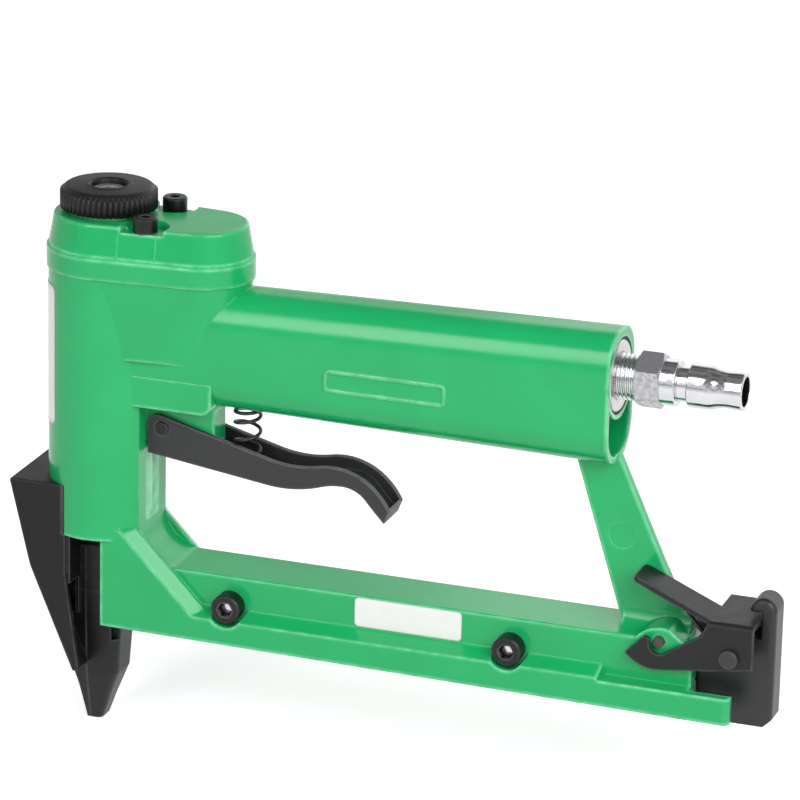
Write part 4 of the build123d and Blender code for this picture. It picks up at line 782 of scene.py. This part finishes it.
class STAPLER_OT_joint(bpy.types.Operator):
    """Lay the paint bead that fills the head's joint, and the draft lines on the cap's flanks"""

    bl_idname = "stapler.joint"
    bl_label = "Head joint"

    def execute(self, context):
        size = context.scene.stapler_joint
        colours = context.scene.stapler_finishes
        # Enamel run into a joint: the same green, painted a little paler along its crest as a painted
        # highlight
        paint = green_enamel("green enamel run into joints", colours, colours.enamel_joint_highlight)
        low, high = corners("head_gasket")
        rear_end = corners("head_cap")[1][0]
        front = np.array([COLUMN_AXIS, size.front_radius])
        rear = np.array([rear_end - size.rear_radius, size.rear_radius])
        points = joint_bead(front, rear, (low[2] + high[2]) / 2, size.bead)
        surface("head_joint_bead", points, "frame", paint, around=True)
        # Draft lines that the core of each screw's seat left on the cap's flanks
        foot = high[2] + size.draft_gap
        for flank, side in (("near", -1), ("far", 1)):
            for end, spot, top in zip(("front", "rear"), size.draft_lines, size.draft_tops):
                name = f"cap_draft_line_{flank}_{end}"
                points = draft_line(size, spot, foot, top, side)
                surface(name, points, "frame", paint, around=True)
        return {"FINISHED"}


class STAPLER_OT_sockets(bpy.types.Operator):
    """Set the bare steel floors into the hexagon sockets"""

    bl_idname = "stapler.sockets"
    bl_label = "Socket floors"

    def execute(self, context):
        size = context.scene.stapler_sockets
        # Steel left bare by the key: a small bright glint down the socket
        steel = turned_metal("bare socket steel", "#BDBDC0", "#D8D8DA", rough=(0.16, 0.28), ring=0.0004,
                             depth=0.000005)
        along, across, up = np.eye(3)
        floors = []
        # Cap screws: one near and one far, and each head is as wide as the pair is long
        low, high = corners("cap_screws")
        middle, reach = (low + high) / 2, (high[0] - low[0]) / 2
        depth, radius = size.cap
        for side, spot in (("near", low[1] + reach), ("far", high[1] - reach)):
            floors.append(("cap_socket_floor_" + side, (middle[0], spot, high[2] - depth), across, radius))
        # Side screws: one front and one rear, and each head is as wide as the pair is high
        low, high = corners("side_screws")
        middle, reach = (low + high) / 2, (high[2] - low[2]) / 2
        depth, radius = size.side
        for end, spot in (("front", low[0] + reach), ("rear", high[0] - reach)):
            floors.append(("side_socket_floor_" + end, (spot, low[1] + depth, middle[2]), up, radius))
        # The screw in the knob's well
        low, high = corners("deflector_screw")
        middle = (low + high) / 2
        depth, radius = size.knob
        floors.append(("knob_socket_floor", (middle[0], middle[1], high[2] - depth), across, radius))
        for name, centre, second, radius in floors:
            points = socket_floor(np.array(centre), along, second, radius)
            surface(name, points, "frame", steel, around=True)
        return {"FINISHED"}


class STAPLER_OT_guard(bpy.types.Operator):
    """Carry the guard's front sheet down over the nose plate as a short lip"""

    bl_idname = "stapler.guard"
    bl_label = "Guard lip"

    def execute(self, context):
        size = context.scene.stapler_guard
        rows, columns = 8, 12
        up = np.linspace(size.lip[0], size.lip[1], rows)[:, None]
        across = np.linspace(size.half, -size.half, columns)[None, :]
        # The lip lies in the plane of the guard's front, a hair behind it
        lean = (size.tip[0] - size.fold[0]) / (size.fold[1] - size.tip[1])
        along = size.fold[0] + lean * (size.fold[1] - up) + size.inset
        points = stacked(along, across, up)
        piece = surface("guard_front_lip", points, "frame", finish_of("front_guard"))
        thicken(piece, size.sheet, offset=-1.0)
        return {"FINISHED"}


class STAPLER_OT_gusset(bpy.types.Operator):
    """Lay the cast wedge on the slope of the near gusset"""

    bl_idname = "stapler.gusset"
    bl_label = "Gusset wedge"

    def execute(self, context):
        points = gusset_facet(context.scene.stapler_gusset)
        surface("gusset_wedge", points, "frame", finish_of("body_casting"), around=True)
        return {"FINISHED"}


class STAPLER_OT_thread(bpy.types.Operator):
    """Cut the thread that shows between the bush and the plug's hexagon"""

    bl_idname = "stapler.thread"
    bl_label = "Plug thread"

    def execute(self, context):
        points = thread(context.scene.stapler_plug)
        surface("plug_thread", points, "frame", finish_of("air_plug"), around=True)
        return {"FINISHED"}


class STAPLER_OT_stage(bpy.types.Operator):
    """Set the pale floor, the softboxes, the white surroundings and the camera"""

    bl_idname = "stapler.stage"
    bl_label = "Stage"

    def execute(self, context):
        scene = context.scene
        size = scene.stapler_stage
        self.lay_floor(size, self.floor_paint(size, scene.stapler_finishes))
        self.surround(scene, size)
        for name, setting in SOFTBOXES.items():
            self.hang_softbox(scene, size, name, *setting)
        self.place_camera(scene, size)
        scene.view_settings.view_transform = "Standard"
        return {"FINISHED"}

    def floor_paint(self, size, colours):
        """White floor paint, a little mottled: lifted for the camera and mirrors, plain white far from the
        object, and clear from below."""
        mottle_size = 0.3
        material, tree, shader, spot = start_material("pale studio floor")
        ways = add(tree, "LightPath").node.outputs
        seen = add(tree, "Math", {0: ways["Is Camera Ray"], 1: ways["Is Glossy Ray"]}, operation="MAXIMUM")
        seen = add(tree, "Math", {0: seen, 1: ways["Is Transmission Ray"]}, operation="MAXIMUM")
        reach = add(tree, "VectorMath", {0: spot}, "Value", operation="LENGTH")
        near, far = size.floor_fade
        away = add(tree, "MapRange", {"Value": reach, "From Min": near, "From Max": far},
                   interpolation_type="SMOOTHSTEP")
        mottle = add(tree, "TexNoise", {"Vector": spot, "Scale": 1 / mottle_size})
        colour = add(tree, "Mix", {0: mottle, 6: colours.floor_dark, 7: colours.floor_light}, 2,
                     data_type="RGBA")
        feed(tree, shader, {"Base Color": colour, "Roughness": 0.9, "Specular IOR Level": 0.0})
        lift = add(tree, "Math", {0: seen, 1: size.floor_lift}, operation="MULTIPLY")
        glow = add(tree, "Emission", {"Strength": lift})
        painted = add(tree, "AddShader", {0: shader.outputs[0], 1: glow})
        white = add(tree, "Emission", {"Strength": 1.0})
        part = add(tree, "Math", {0: away, 1: seen}, operation="MULTIPLY")
        lit = add(tree, "MixShader", {0: part, 1: painted, 2: white})
        clear = add(tree, "BsdfTransparent")
        under = add(tree, "NewGeometry", None, "Backfacing")
        both = add(tree, "MixShader", {0: under, 1: lit, 2: clear})
        feed(tree, tree.nodes["Material Output"], {"Surface": both})
        return material

    def lay_floor(self, size, paint, rings=24, sides=96):
        """Round floor under the object: the radius of its rings grows as a square from the middle."""
        reach = np.linspace(1, 0, rings)[:, None] ** 2 * size.floor
        turn = circle(sides)
        points = stacked(size.aim[0] + reach * np.cos(turn), reach * np.sin(turn), -size.floor_drop)
        surface("floor", points, None, paint, around=True)

    def surround(self, scene, size):
        """White for the camera; for mirrors white at the horizon, darker overhead and patchy; an even fill
        for the rest."""
        patch_scale = 4.5
        world = bpy.data.worlds.new("studio surroundings")
        world.use_nodes = True
        tree = world.node_tree
        ways = add(tree, "LightPath").node.outputs
        look = add(tree, "TexCoord", out="Generated")
        up = add(tree, "SeparateXYZ", {0: look}, "Z")
        low, high = sin(size.sky_low), sin(size.sky_high)
        sky = add(tree, "MapRange", {"Value": up, "From Min": low, "From Max": high, "To Min": 1.0,
                                     "To Max": size.sky_top}, interpolation_type="SMOOTHSTEP")
        patches = add(tree, "TexNoise", {"Vector": look, "Scale": patch_scale, "Detail": 2.0})
        patches = add(tree, "MapRange", {"Value": patches, "From Min": 0.4, "From Max": 0.55, "To Min": 0.4})
        sky = add(tree, "Math", {0: sky, 1: patches}, operation="MULTIPLY")
        mirror = add(tree, "Math", {0: ways["Is Glossy Ray"], 1: ways["Is Transmission Ray"]},
                     operation="MAXIMUM")
        room = add(tree, "Mix", {0: mirror, 2: size.fill, 3: sky})
        level = add(tree, "Mix", {0: ways["Is Camera Ray"], 2: room, 3: 1.0})
        feed(tree, tree.nodes["Background"], {"Color": linear("#FFFFFF"), "Strength": level})
        scene.world = world

    def hang_softbox(self, scene, size, name, turn, rise, spread, power):
        """Softbox that faces the object from a turn off the object's near side and a rise."""
        light = bpy.data.lights.new(name, "AREA")
        light.shape = "RECTANGLE"
        light.size, light.size_y = spread
        light.energy = power
        lamp = bpy.data.objects.new(name, light)
        away = Vector((sin(turn) * cos(rise), -cos(turn) * cos(rise), sin(rise)))
        stand = Vector(size.aim) + size.reach * away
        lamp.matrix_world = Matrix.Translation(stand) @ away.to_track_quat("Z", "Y").to_matrix().to_4x4()
        lamp.visible_camera = False
        scene.collection.objects.link(lamp)

    def place_camera(self, scene, size):
        """Camera at the photo's angle: level axes turned by azimuth and elevation, then rolled."""
        lens = bpy.data.cameras.new("photo camera")
        lens.sensor_width = size.sensor
        lens.lens = size.lens
        camera = bpy.data.objects.new("photo camera", lens)
        view = Vector((-sin(size.azimuth) * cos(size.elevation), cos(size.azimuth) * cos(size.elevation),
                       -sin(size.elevation)))
        level = Vector((cos(size.azimuth), sin(size.azimuth), 0.0))
        above = level.cross(view)
        right = cos(size.roll) * level + sin(size.roll) * above
        above = cos(size.roll) * above - sin(size.roll) * level
        turned = Matrix((right, above, -view)).transposed().to_4x4()
        camera.matrix_world = Matrix.Translation(Vector(size.camera)) @ turned
        scene.collection.objects.link(camera)
        scene.camera = camera


class STAPLER_PT_panel(bpy.types.Panel):
    """Lists the steps of the stapler's look"""

    bl_label = "Frame stapler"
    bl_idname = "STAPLER_PT_panel"
    bl_space_type = "VIEW_3D"
    bl_region_type = "UI"
    bl_category = "Stapler"

    def draw(self, context):
        for step in STEPS:
            self.layout.operator(step.bl_idname)


STEPS = (STAPLER_OT_finishes, STAPLER_OT_stickers, STAPLER_OT_springs, STAPLER_OT_knob, STAPLER_OT_joint,
         STAPLER_OT_sockets, STAPLER_OT_guard, STAPLER_OT_gusset, STAPLER_OT_thread, STAPLER_OT_stage)
SETTINGS = {
    "stapler_finishes": FinishSettings,
    "stapler_stickers": StickerSettings,
    "stapler_springs": SpringSettings,
    "stapler_knob": KnobSettings,
    "stapler_joint": JointSettings,
    "stapler_sockets": SocketSettings,
    "stapler_guard": GuardSettings,
    "stapler_gusset": GussetSettings,
    "stapler_plug": PlugSettings,
    "stapler_stage": StageSettings,
}
CLASSES = (*SETTINGS.values(), *STEPS, STAPLER_PT_panel)


def register():
    """Register the classes and hang the settings on the scene."""
    for kind in CLASSES:
        bpy.utils.register_class(kind)
    for name, kind in SETTINGS.items():
        setattr(bpy.types.Scene, name, PointerProperty(type=kind))


def unregister():
    """Take the settings off the scene and unregister the classes."""
    for name in SETTINGS:
        delattr(bpy.types.Scene, name)
    for kind in reversed(CLASSES):
        bpy.utils.unregister_class(kind)


def main():
    """Register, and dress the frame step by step."""
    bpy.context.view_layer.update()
    register()
    bpy.ops.stapler.finishes()
    bpy.ops.stapler.stickers()
    bpy.ops.stapler.springs()
    bpy.ops.stapler.knob()
    bpy.ops.stapler.joint()
    bpy.ops.stapler.sockets()
    bpy.ops.stapler.guard()
    bpy.ops.stapler.gusset()
    bpy.ops.stapler.thread()
    bpy.ops.stapler.stage()


if __name__ == "__main__":
    main()
